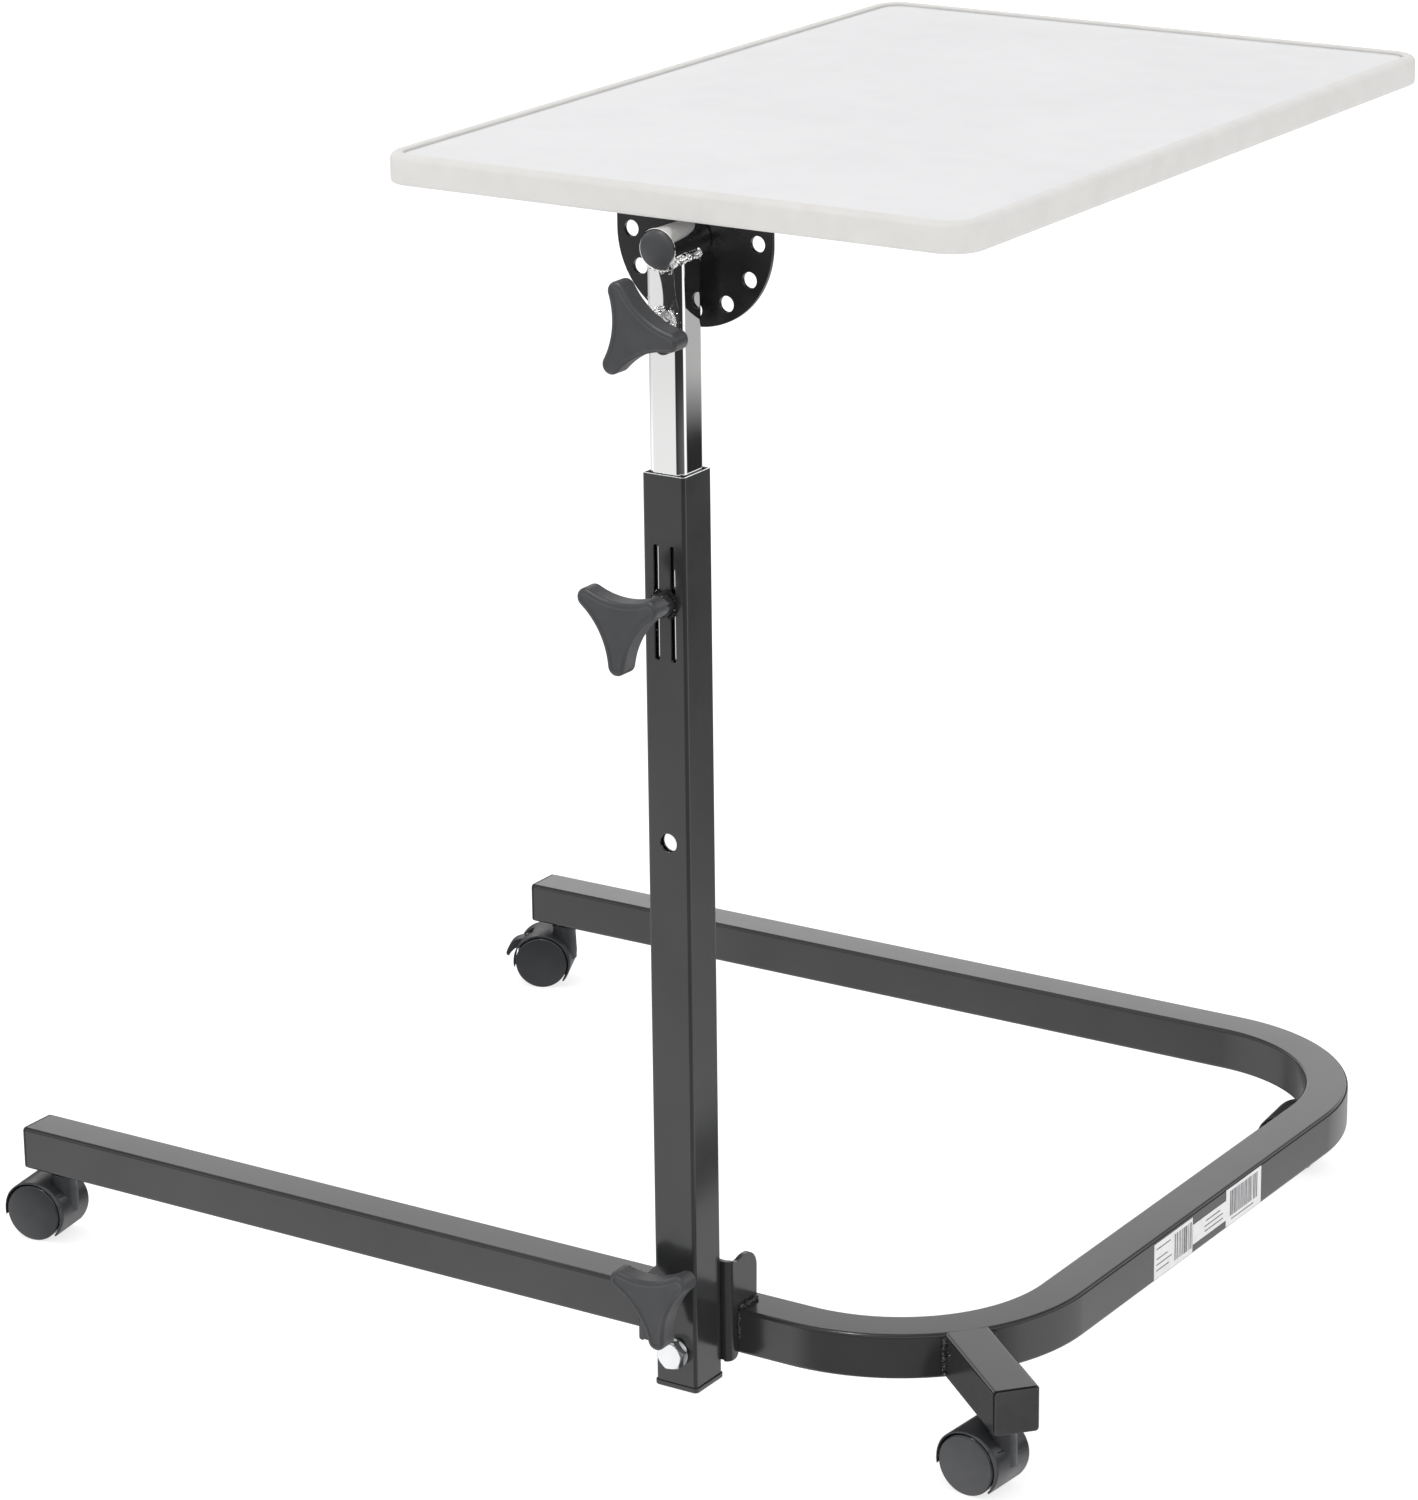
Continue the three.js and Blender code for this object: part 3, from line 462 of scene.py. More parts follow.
def weld_bead(path, radius, seed, sides=10, ripple=0.16, roughness=0.12):
    """A lumpy tube along a path of points, with the overlapping ripples of a hand weld."""
    points = []
    for a, b in zip(path, path[1:]):
        steps = max(2, round((b - a).length / BEAD_STEP))
        points += [a.lerp(b, i / steps) for i in range(steps)]
    points.append(path[-1])
    rings = []
    for i, point in enumerate(points):
        along = (points[min(i + 1, len(points) - 1)] - points[max(i - 1, 0)]).normalized()
        side = along.orthogonal().normalized()
        other = along.cross(side)
        end = min(1.0, 0.35 + 0.4 * min(i, len(points) - 1 - i))
        wave = 1 + ripple * math.sin(i * 1.7 + seed)
        ring = []
        for x, y in circle(radius * end * wave, sides):
            spot = point + side * x + other * y
            lump = noise.noise(spot * 0.6 + Vector((seed, 0, 0)))
            ring.append(point + (side * x + other * y) * (1 + roughness * 2 * lump))
        rings.append(ring)
    return loft(rings)


def spatter(centre, spread, count, seed, sizes=(0.25, 0.7)):
    """Small weld beads thrown round a point, in the plane that faces the front."""
    picker = random.Random(seed)
    drops = []
    for _ in range(count):
        x, z = picker.gauss(0, spread), picker.gauss(0, spread)
        size = picker.uniform(*sizes)
        profile = ((0.05, -1), (0.7, -0.7), (1, 0), (0.7, 0.7), (0.05, 1))
        drop = turned([(radius * size, height * size) for radius, height in profile], 10)
        drops.append(placed(drop, at(centre.x + x, centre.y, centre.z + z)))
    return joined(*drops)


def make_outrigger():
    start = BEND_RADIUS + HALF - 2
    edge = 0.2
    rings = [[(x, y, z) for y, z in TUBE_SECTION] for x in (start, OUTRIGGER_END - edge)]
    k = 1 - 2 * edge / TUBE
    rings.append([(OUTRIGGER_END, y * k, z * k) for y, z in TUBE_SECTION])
    piece("outrigger", placed(loft(rings), OUTRIGGER_FRAME), POWDER, "base", ["outrigger_tube"])
    beads = []
    reach = math.sqrt((BEND_RADIUS + HALF) ** 2 - HALF**2)
    for side, seed in ((-1, 3), (1, 8)):
        y = side * (HALF + 0.4)
        path = [OUTRIGGER_FRAME @ Vector((reach + 1.0, y, z)) for z in (-12.5, -4, 5, 13)]
        beads.append(weld_bead(path, 2.5, seed, 12, 0.2, 0.3))
    piece("outrigger_weld", joined(*beads), POWDER_WELD, "base", limit=60)


def make_plug(name, node, frame_matrix, head, step=0.0):
    """A plug, whose head is smaller than its tube by the step. Local X points out of the tube."""
    outline = rounded_rectangle(TUBE - 0.2, TUBE - 0.2, TUBE_CORNER, 6)
    rim = 0.7
    rings = []
    for x, inset in ((0, 0.5), (0.5, 0), (head - rim, 0), (head - 0.3 * rim, 0.3 * rim), (head, rim)):
        k = (TUBE - 2 * (inset + step)) / TUBE
        rings.append([(x, y * k, z * k) for y, z in outline])
    spigot = rounded_rectangle(TUBE - 4, TUBE - 4, TUBE_CORNER - 1.5, 6)
    inner = loft([[(x, y, z) for y, z in spigot] for x in (-8, 0.1)])
    piece(name, placed(joined(loft(rings), inner), frame_matrix), BLACK_PLASTIC, "base", [node], limit=50)


def make_plugs():
    backwards = Matrix.Rotation(math.pi, 4, "Z")
    for leg, x, y in (
        ("mast_leg", MAST_LEG_END_X, MAST_LEG_AXIS_Y),
        ("far_leg", FAR_LEG_END_X, FAR_LEG_AXIS_Y),
    ):
        make_plug(f"{leg}_end_plug", f"{leg}_plug", at(x - GAP, y, TUBE_AXIS_Z) @ backwards, PLUG_HEAD)
    outrigger_end = OUTRIGGER_FRAME @ at(OUTRIGGER_END + GAP, 0, 0)
    make_plug("outrigger_end_plug", "outrigger_plug", outrigger_end, PLUG_HEAD + 0.6, 0.8)


# ---- labels: plain white stickers, with grey bars and lines that say nothing ----

LABEL_THICKNESS = 0.15


LABEL_MARK_LIFT = 0.12


def label_part(start, end, low, high, lift=LABEL_MARK_LIFT):
    """A thin sheet on the cross bar, measured along it from the mast leg and up from its bottom."""
    y0, y1, z0, z1 = MAST_LEG_Y + start, MAST_LEG_Y + end, BASE_LOW.z + low, BASE_LOW.z + high
    outline = [(y0, z0), (y1, z0), (y1, z1), (y0, z1)]
    face = CROSS_BAR_X + lift
    return plate_yz(outline, face - 0.1, face + LABEL_THICKNESS)


def make_labels():
    sheets = [
        label_part(230, 283, 1.8, 26.6, 0.0),
        label_part(283.6, 331, 7, 21, 0.0),
        label_part(330.5, 381, 1.8, 28.2, 0.05),
    ]
    piece("label_sheets", joined(*sheets), LABEL_PAPER, "base")
    marks = []
    picker = random.Random(5)
    for start, end, low, high in ((258, 281, 5.5, 24), (336, 376, 8, 26)):
        y = start
        while y < end:
            width = picker.choice((0.6, 0.9, 1.4, 2.0))
            marks.append(label_part(y, y + width, low, high))
            y += width + picker.choice((0.7, 1.0, 1.5))
    lines = [(300, 326, 10), (300, 326, 13.5), (302, 322, 17), (233, 250, 7), (233, 254, 11),
             (233, 248, 15), (233, 252, 22), (338, 370, 5)]
    marks += [label_part(start, end, low, low + 0.8) for start, end, low in lines]
    piece("label_marks", joined(*marks), LABEL_INK, "base")


# ---- mast pivot ----

BRACKET_FRONT = MAST.y + HALF + 0.5
SHEET = 3
BRACKET_LEFT = MAST.x - 50
BRACKET_RIGHT = MAST.x + 21
BRACKET_FOOT = BASE_LOW.z - 2
BRACKET_TOP = 116
LEG_TOP = BASE_HIGH.z


def arc(cx, cy, radius, start, end, steps=12):
    points = []
    for i in range(steps + 1):
        angle = math.radians(start + (end - start) * i / steps)
        points.append((cx + radius * math.cos(angle), cy + radius * math.sin(angle)))
    return points


def curve_through(a, b, c, steps=8):
    """A quadratic Bezier curve from a to c, pulled towards b."""
    turns = [i / steps for i in range(steps + 1)]
    return [tuple((1 - t) ** 2 * p + 2 * t * (1 - t) * q + t * t * r for p, q, r in zip(a, b, c))
            for t in turns]


BEND_ROOM = 5


def folded_sheet():
    """The bracket's steel seen from above: a web with a flange bent back at each end."""
    outer, back = 4.6, MAST_LEG_Y + 26
    left, right, front = BRACKET_LEFT, BRACKET_RIGHT, BRACKET_FRONT
    inner = outer - SHEET
    outline = [(left, back)]
    outline += arc(left + outer, front + outer, outer, 180, 270, 8)
    outline += arc(right - outer, front + outer, outer, 270, 360, 8)
    outline += [(right, back), (right - SHEET, back)]
    outline += arc(right - outer, front + outer, inner, 360, 270, 8)
    outline += arc(left + outer, front + outer, inner, 270, 180, 8)
    outline += [(left + SHEET, back)]
    return prism(outline, BRACKET_FOOT - 1, BRACKET_TOP + 1)


def make_bracket():
    left, right, front, leg = BRACKET_LEFT, BRACKET_RIGHT, BRACKET_FRONT, MAST_LEG_Y
    bottom, top = BRACKET_FOOT, BRACKET_TOP
    web = [(left, bottom), (right, bottom), (right, top - 0.8), (MAST.x + 13, top - 0.8),
           (MAST.x + 8, top), (MAST.x - 20, top), (left, LEG_TOP + 5)]
    hump = (leg + 9.5, top - 13.5)
    dip = (leg + 2, top - 2.2)
    toe = leg - 4.3
    foot = [
        (front - 1, bottom - 1),
        (toe, bottom),
        *arc(toe, bottom + 4, 4, 270, 360, 6),
        (leg - GAP, LEG_TOP + GAP),
    ]
    tall = foot + [
        (leg + 21.5, LEG_TOP + GAP),
        *arc(*hump, 12.5, 0, 90, 14),
        *curve_through((hump[0], top - 1), (leg + 5, top - 1), dip)[1:],
        *curve_through(dip, (leg - 1, top - 3.2), (leg - 6, top - 1.8))[1:],
        (front - 1, top - 0.8),
    ]
    low = foot + [(leg + 24, LEG_TOP + GAP), (leg + 20, LEG_TOP + 5), (front - 1, LEG_TOP + 5)]
    obj = new_object("mast_bracket", folded_sheet())
    through = front - 1, front + SHEET + 1
    outline = new_object("bracket_outline", plate_xz(web, *through))
    combine(outline, plate_yz(tall, right - BEND_ROOM, right + 1), "UNION")
    combine(outline, plate_yz(low, left - 1, left + BEND_ROOM), "UNION")
    combine(obj, taken(outline), "INTERSECT")
    slot_radius, slot_half = LOCK_Z - PIVOT_Z, 4.5
    far = math.radians(120)
    slot = [
        *arc(0, 0, slot_radius + slot_half, 90, 120, 14),
        *arc(slot_radius * math.cos(far), slot_radius * math.sin(far), slot_half, 120, 300, 12)[1:-1],
        *arc(0, 0, slot_radius - slot_half, 120, 90, 14),
        *arc(0, slot_radius, slot_half, -90, 90, 12)[1:-1],
    ]
    slot = [(MAST.x + x, PIVOT_Z + z) for x, z in slot]
    cut(obj, joined(plate_xz(slot, *through), pin_y(PIVOT_HOLE, *through, PIVOT_Z)))
    finish(obj, POWDER, "base", ["pivot_bracket"], bevel=0.6, limit=40)
    left, right, seam = left - 0.4, right + 0.4, LEG_TOP + 0.6
    rough = 12, 0.22, 0.3
    beads = [
        weld_bead([Vector((right, leg + y, seam)) for y in (1, 8, 15, 21)], 2.2, 4, *rough),
        weld_bead([Vector((right, leg + 0.1, z)) for z in (60, 66, 73, 79)], 1.5, 6, *rough),
        weld_bead([Vector((left, leg + y, seam)) for y in (1, 9, 17, 23)], 1.5, 9),
        weld_bead([Vector((left, leg + 0.2, z)) for z in (55, 64, 72)], 1.3, 12),
    ]
    piece("bracket_weld", joined(*beads), POWDER_WELD, "base", limit=60)


def hex_head(name, across_flats, height, both_sides=False):
    """A hexagon whose corners are turned off to a shallow cone, standing on local Z = 0."""
    reach = across_flats / math.sqrt(3)
    corner_turns = [math.radians(60 * i) for i in range(6)]
    hexagon = [(reach * math.cos(t), reach * math.sin(t)) for t in corner_turns]
    obj = new_object(name, prism(hexagon, 0, height))
    flat = 0.95 * across_flats / 2
    drop = 0.55 * (reach - flat)
    foot = [(flat, -0.01), (reach + 0.01, drop)] if both_sides else [(reach + 0.01, -0.01)]
    profile = foot + [(reach + 0.01, height - drop), (flat, height + 0.01)]
    return combine(obj, turned(profile, 96), "INTERSECT")


def threaded(radius, length, pitch=1.25):
    """A threaded bar from local Z = 0, as ridges of the thread's pitch."""
    depth = 0.55 * pitch
    profile = [(radius - depth, 0)]
    z = 0.3 * pitch
    while z < length - pitch:
        profile += [(radius, z), (radius, z + 0.2 * pitch), (radius - depth, z + 0.6 * pitch)]
        z += pitch
    return turned(profile + [(radius - depth, length)], 40)


def washer_part(outer, inner, thickness):
    edge = 0.25
    profile = [
        (inner, 0), (outer - edge, 0), (outer, edge),
        (outer, thickness - edge), (outer - edge, thickness), (inner, thickness),
    ]
    return turned(profile, 64, looped=True)


ACROSS_FLATS = 17


def make_pivot_hardware():
    low, high = corners("pivot_bolt")
    washer_low, _ = corners("pivot_washer")
    head = hex_head("pivot_bolt_head", ACROSS_FLATS, washer_low.y - 0.1 - low.y)
    move(head, facing_front(washer_low.y - 0.1, PIVOT_Z, 12))
    combine(head, pin_y(5, washer_low.y - 0.3, high.y, PIVOT_Z), "UNION")
    finish(head, ZINC, "base", ["pivot_bolt"], bevel=0.3)
    thickness = 1.8
    washer = placed(washer_part(9.8, PIVOT_HOLE, thickness), facing_front(washer_low.y + thickness, PIVOT_Z))
    piece("pivot_flat_washer", washer, ZINC, "base", ["pivot_washer"])
    low, high = corners("pivot_nut")
    nut = hex_head("pivot_thin_nut", ACROSS_FLATS, high.y - low.y, both_sides=True)
    move(nut, facing_front(high.y, PIVOT_Z, 20))
    cut(nut, pin_y(5.2, low.y - 1, high.y + 1, PIVOT_Z))
    finish(nut, ZINC, "base", ["pivot_nut"], bevel=0.2)


# ---- masts ----


def hollow_tube(name, size, wall, corner, z0, z1, steps=8):
    outer = rounded_rectangle(size, size, corner, steps)
    inner = rounded_rectangle(size - 2 * wall, size - 2 * wall, max(corner - wall, 0.6), steps)
    rings = [
        [(x, y, z) for x, y in outline]
        for outline, z in ((outer, z0), (outer, z1), (inner, z1), (inner, z0))
    ]
    return new_object(name, placed(loft(rings, looped=True), at(MAST.x, MAST.y, 0)))


def paint_cut_end(obj, height, first, second):
    """Gives a tube the first material, and the faces at its sawn top end the second."""
    obj.data.materials.append(first)
    obj.data.materials.append(second)
    for polygon in obj.data.polygons:
        if polygon.normal.z > 0.9 and abs(polygon.center.z / MM - height) < 0.5:
            polygon.material_index = 1


SLOT_LENGTH = 72
SLOT_WIDTH = 3.6
SLOT_OFFSET = 5.8


def make_outer_mast():
    obj = hollow_tube("mast_tube", TUBE, 1.3, TUBE_CORNER, MAST_LOW.z, MAST_HIGH.z)
    front, back = MAST.y - HALF - 1, MAST.y + HALF + 1
    tools = [
        pin_y(PIVOT_HOLE, front, back, PIVOT_Z),
        pin_y(LOCK_HOLE, front, back, LOCK_Z),
        pin_y(6, front, back, SPARE_HOLE_Z, 64),
        pin_y(LOCK_HOLE, front, MAST.y, HEIGHT_SCREW_Z),
    ]
    slot = rounded_rectangle(SLOT_WIDTH, SLOT_LENGTH, SLOT_WIDTH / 2 - 0.01, 8)
    for side in (-SLOT_OFFSET, SLOT_OFFSET):
        outline = [(MAST.x + side + x, HEIGHT_SCREW_Z + z) for x, z in slot]
        tools.append(plate_xz(outline, front, front + 5))
    cut(obj, joined(*tools[:3]))
    for tool in tools[3:]:
        cut(obj, tool)
    paint_cut_end(obj, MAST_HIGH.z, POWDER, ZINC)
    finish(obj, POWDER, "mast", ["outer_mast"], bevel=0.25, segments=2, limit=50)


def make_mast_plastics():
    cap_low, cap_high = corners("mast_foot_cap")
    size = cap_high.x - cap_low.x
    flange = MAST_LOW.z - cap_low.z - 0.1
    rings = []
    for z, inset in ((0, 1.2), (0.35, 0.4), (1, 0), (flange, 0)):
        outline = rounded_rectangle(size - 2 * inset, size - 2 * inset, TUBE_CORNER + 0.5 - 0.5 * inset)
        rings.append([(x, y, z) for x, y in outline])
    plug = placed(loft(rings), at(MAST.x, MAST.y, cap_low.z))
    piece("mast_foot_plug", plug, BLACK_PLASTIC, "mast", ["mast_foot_cap"], limit=50)

    sleeve = hollow_tube("mast_sleeve", TUBE - 2.8, 1.0, 2.2, MAST_HIGH.z - 30, MAST_HIGH.z - 0.4)
    finish(sleeve, BLACK_PLASTIC, "mast", ["mast_glide_collar"])

    glide_low, glide_high = corners("inner_mast_glide")
    glide = hollow_tube("inner_mast_foot", glide_high.x - glide_low.x, 6, 2.5, glide_low.z, INNER_LOW.z - 0.1)
    finish(glide, BLACK_PLASTIC, "inner_mast", ["inner_mast_glide"], bevel=0.5)


def make_weld_nut(name, node, material, body, seat, length, bore):
    """A round nut welded to a mast's front face, with its bore cut through."""
    core, radius, chamfer, slope = 0.3, 7.5, 1.1, 1.6
    profile = [(core, -1), (radius, -1), (radius, length - slope), (radius - chamfer, length), (core, length)]
    nut = new_object(name, placed(turned(profile, 64), seat))
    finish(cut(nut, bore), material, body, [node], bevel=0.3)


def bead_round(centre_matrix, radius, size, seed, start, end):
    """A weld bead along an arc, in degrees, around local Z."""
    path = [centre_matrix @ Vector((x, y, 0.4)) for x, y in arc(0, 0, radius, start, end, 24)]
    return weld_bead(path, size, seed)


def make_height_nut():
    face = MAST.y - HALF
    low, _ = corners("height_weld_nut")
    seat = facing_front(face, HEIGHT_SCREW_Z)
    bore = pin_y(NUT_BORE, low.y - 1, face + 1, HEIGHT_SCREW_Z)
    make_weld_nut("height_nut", "height_weld_nut", POWDER, "mast", seat, face - low.y, bore)
    tacks = [(1.5, 2, 20, 75), (1.6, 5, 115, 165), (1.5, 7, 205, 250), (1.6, 11, 290, 345)]
    beads = [bead_round(seat, 8.0, *tack) for tack in tacks]
    beads.append(spatter(Vector((MAST.x, face - 0.1, HEIGHT_SCREW_Z)), 8.5, 26, 4, (0.2, 0.5)))
    piece("height_nut_weld", joined(*beads), POWDER_WELD, "mast", limit=60)


def make_inner_mast():
    corner = 5.0
    obj = hollow_tube("chrome_mast", 2 * HALF_INNER, 1.5, corner, INNER_LOW.z, TILT_Z - 4, 12)
    cut(obj, pin_y(HEAD_RADIUS - 0.2, MAST.y - HALF, MAST.y + HALF, TILT_Z, 96))
    cut(obj, pin_y(LOCK_HOLE, MAST.y - HALF, MAST.y + HALF, TILT_PIN_Z))
    finish(obj, CHROME, "inner_mast", ["inner_mast"], limit=50)


def make_head():
    wall, edge = 2.0, 0.5
    length = HEAD_HIGH.y - HEAD_LOW.y
    bore = HEAD_RADIUS - wall
    profile = [
        (bore, 0), (HEAD_RADIUS - edge, 0), (HEAD_RADIUS, edge),
        (HEAD_RADIUS, length - edge), (HEAD_RADIUS - 0.3 * edge, length - 0.3 * edge),
        (HEAD_RADIUS - edge, length), (bore + edge, length), (bore, length - edge),
    ]
    tube = placed(turned(profile, 96, looped=True), facing_front(HEAD_HIGH.y, TILT_Z))
    piece("head_sleeve", tube, CHROME, "inner_mast", ["head_tube"])

    cap_low, _ = corners("head_tube_cap")
    dome = HEAD_LOW.y - cap_low.y
    reach = HEAD_RADIUS - 1.1
    profile = [(bore - 0.2, -3), (bore - 0.2, 0.05), (reach, 0.05), (reach, 0.5)]
    for i in range(1, 12):
        t = math.radians(90 * i / 12)
        profile.append((reach * math.cos(t) if i < 11 else 0.6, 0.5 + (dome - 0.5) * math.sin(t)))
    cap = placed(turned(profile, 64), facing_front(HEAD_LOW.y, TILT_Z))
    piece("head_sleeve_cap", cap, KNOB_PLASTIC, "inner_mast", ["head_tube_cap"], limit=50,
          slot="black_plastic")


def make_head_welds():
    """Rough beads where the chromed mast meets the round head tube, and round the tilt nut."""
    beads = []
    for side, seed in ((-1, 3), (1, 5)):
        x = MAST.x + side * (HALF_INNER - 0.6)
        path = [Vector((x, MAST.y + y, TILT_Z - 6.5 + 0.05 * y)) for y in (-12, -5, 2, 8, 12.5)]
        beads.append(weld_bead(path, 1.9, seed, 12, 0.2, 0.3))
    for y, seed in ((-HALF_INNER, 14), (HALF_INNER, 21)):
        path = []
        for x in (-11.5, -8, -4, 0, 4, 8, 11.5):
            z = TILT_Z - math.sqrt(max(HEAD_RADIUS**2 - x * x, 0)) - 0.2
            path.append(Vector((MAST.x + x, MAST.y + y, z)))
        beads.append(weld_bead(path, 1.9, seed, 12, 0.2, 0.4))
    face = MAST.y - HALF_INNER
    low, _ = corners("tilt_weld_nut")
    seat = facing_front(face, TILT_PIN_Z)
    beads += [
        bead_round(seat, 7.9, 1.5, 17, -20, 60),
        bead_round(seat, 7.9, 1.4, 19, 80, 150),
        bead_round(seat, 7.9, 1.5, 23, 190, 300),
        spatter(Vector((MAST.x, face, TILT_PIN_Z)), 6, 16, 2, (0.2, 0.5)),
        spatter(Vector((MAST.x + 6, face, TILT_Z - 12)), 3, 14, 9, (0.2, 0.6)),
    ]
    piece("chrome_weld_beads", joined(*beads), CHROME_WELD, "inner_mast", limit=60)
    bore = pin_y(NUT_BORE, low.y - 1, face + 2, TILT_PIN_Z)
    make_weld_nut("tilt_nut", "tilt_weld_nut", CHROME_WELD, "inner_mast", seat, face - low.y, bore)


# ---- knobs ----

KNOB_THICKNESS = 14


def knob_outline(inset):
    """Three round tips joined by hollow sides, all drawn in by the inset."""
    tip_radius, tip_centre, waist = 6.0, 25.7, 14.2
    side = waist - tip_radius
    hollow_centre = (tip_centre**2 - side**2) / (tip_centre - 2 * side)
    hollow_radius = hollow_centre - waist
    sixty = math.radians(60)
    sweep = math.atan2(hollow_centre * math.sin(sixty), hollow_centre * math.cos(sixty) - tip_centre)
    outline = []
    for i in range(3):
        tip = 2 * i * sixty
        hollow = tip + sixty
        leave = tip + sweep + math.pi
        arrive = 2 * (hollow + math.pi) - leave
        x, y = tip_centre * math.cos(tip), tip_centre * math.sin(tip)
        outline += arc(x, y, tip_radius - inset, math.degrees(tip - sweep), math.degrees(tip + sweep), 16)
        x, y = hollow_centre * math.cos(hollow), hollow_centre * math.sin(hollow)
        steps = 22
        outline += arc(x, y, hollow_radius + inset, math.degrees(leave), math.degrees(arrive), steps)[1:-1]
    return outline


def knob_grip():
    """The hand grip: a soft front shoulder, a slightly sunk face, and a rounder back edge."""
    front, back = 2.6, 1.6
    levels = [(back * (1 - s), back * (1 - c)) for c, s in quarter(5)]
    levels += [(front * (1 - c), KNOB_THICKNESS - front + front * s) for c, s in quarter(7, 1)]
    levels += [(3.2, KNOB_THICKNESS - 0.05), (3.8, KNOB_THICKNESS - 0.3), (4.6, KNOB_THICKNESS - 0.45)]
    rings = [[(x, y, z) for x, y in knob_outline(inset)] for inset, z in levels]
    return loft(rings)


LEAN_STAND, HEIGHT_STAND, TILT_STAND = 15, 39, 18


def make_knob(name, node, z, stand, hub, angle):
    """A knob that stands off the mast's face, with a collar on its back. The angle turns its tips."""
    seat = facing_front(MAST.y - HALF - stand, z, angle)
    collar = [(6.2, -hub), (6.7, -hub + 0.5), (7.0, -hub + 1.5), (8.2, -1.5), (10.2, 0.4), (11.5, 2)]
    obj = new_object(name, placed(knob_grip(), seat))
    combine(obj, placed(turned(collar, 64), seat), "UNION")
    finish(obj, KNOB_PLASTIC, node, [node], limit=42)


def make_lock_parts():
    """The knobs, and the screw, pin, bolt and washer of their locks."""
    make_knob("lean_lock_knob", "lean_knob", LOCK_Z, LEAN_STAND, 10, 38)
    make_knob("height_lock_knob", "height_knob", HEIGHT_SCREW_Z, HEIGHT_STAND, 18, 28)
    make_knob("tilt_lock_knob", "tilt_knob", TILT_PIN_Z, TILT_STAND, 6, -6)

    low, high = corners("height_screw")
    start = MAST.y - HALF - HEIGHT_STAND + 19
    screw = placed(threaded(4, high.y - start), facing_back(start, HEIGHT_SCREW_Z))
    piece("height_lock_screw", screw, ZINC, "height_knob", ["height_screw"], limit=60)

    low, high = corners("tilt_pin")
    length = high.y - low.y
    profile = [(3.6, 0), (4, 0.5), (4, length - 1.2), (3.2, length), (0.3, length)]
    pin = placed(turned(profile, 48), facing_back(low.y, TILT_PIN_Z))
    piece("tilt_lock_pin", pin, ZINC, "tilt_knob", ["tilt_pin"], limit=40)

    low, high = corners("lean_lock_bolt")
    length = high.y - low.y
    profile = [(3.7, 0), (4, 0.4), (4, length - 3.5), (8.4, length - 3.5), (8.5, length - 3),
               (8.2, length - 1.4), (6.6, length - 0.4), (3, length), (0.4, length)]
    bolt = placed(turned(profile, 64), facing_back(low.y, LOCK_Z))
    piece("lean_lock_carriage_bolt", bolt, ZINC, "mast", ["lean_lock_bolt"], limit=40)
    low, high = corners("lean_lock_washer")
    washer = placed(washer_part(9.5, 4.3, 1.6), facing_front(high.y, LOCK_Z))
    piece("lean_lock_flat_washer", washer, ZINC, "mast", ["lean_lock_washer"])


# ---- quadrant and tabletop ----


def make_quadrant():
    low, high = corners("quadrant_plate")
    radius, top = (high.x - low.x) / 2, high.z
    outline = [(MAST.x + radius, top), (MAST.x - radius, top)]
    outline += arc(MAST.x, TILT_Z, radius, 180, 360, 72)
    obj = new_object("tilt_quadrant", plate_xz(outline, low.y, high.y))
    hole_circle = TILT_Z - TILT_PIN_Z
    holes = []
    for i in range(7):
        angle = math.radians(-180 + 30 * i)
        x, z = MAST.x + hole_circle * math.cos(angle), TILT_Z + hole_circle * math.sin(angle)
        holes.append(pin_y(5, low.y - 1, high.y + 1, z, 56, x))
    cut(obj, joined(*holes))
    # The plate's darkened powder coat paints in the shade under the tabletop.
    finish(obj, QUADRANT_SHADED_POWDER, "tabletop", ["quadrant_plate"], bevel=0.35, limit=40)


def merged_copy(name, node):
    """A CAD piece again, with its coplanar triangles merged."""
    shape = bmesh.new()
    shape.from_mesh(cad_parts[node].data)
    bmesh.ops.remove_doubles(shape, verts=shape.verts, dist=1e-6)
    bmesh.ops.dissolve_limit(shape, angle_limit=math.radians(1), verts=shape.verts, edges=shape.edges)
    mesh = bpy.data.meshes.new(name)
    shape.to_mesh(mesh)
    shape.free()
    return linked(name, mesh)


def make_support():
    support = merged_copy("board_support", "support_channel")
    finish(support, POWDER, "tabletop", ["support_channel"], bevel=0.6, limit=40)
    head = [(0.4, 0), (2.2, 0.05), (3.9, 0.6), (4.5, 1.6), (4.5, 2.6), (2.1, 2.6), (2.1, 14), (0.4, 15.5)]
    wide, long, deep = 0.4, 2.3, 1.2
    cross, arm = [], [(wide, -long), (wide, -wide), (long, -wide)]
    for _ in range(4):
        cross += arm
        arm = [(-y, x) for x, y in arm]
    for i in range(1, 5):
        node = f"support_screw_{i}"
        obj = new_object(f"board_screw_{i}", placed(turned(head, 48), at_foot(node)))
        cut(obj, placed(prism(cross, -1, deep), at_foot(node)))
        finish(obj, ZINC, "tabletop", [node], limit=40)


def rim_profile(top):
    """(distance in from the outer edge, height): a soft bottom, a plain side and a full round lip."""
    shoulder, lip = 4.6, 8
    profile = [(2.2, 0), (0.8, 0.25), (0.15, 1.1), (0, 2.6), (0, top - shoulder - 1)]
    profile += [(shoulder * (1 - c), top - shoulder + shoulder * s) for c, s in quarter(8, 1)]
    profile += [(6.3, top), (7.2, top - 0.15), (7.8, top - 0.6), (lip, top - 1.2)]
    return profile + [(lip, 2), (14, 2), (14, 0)]


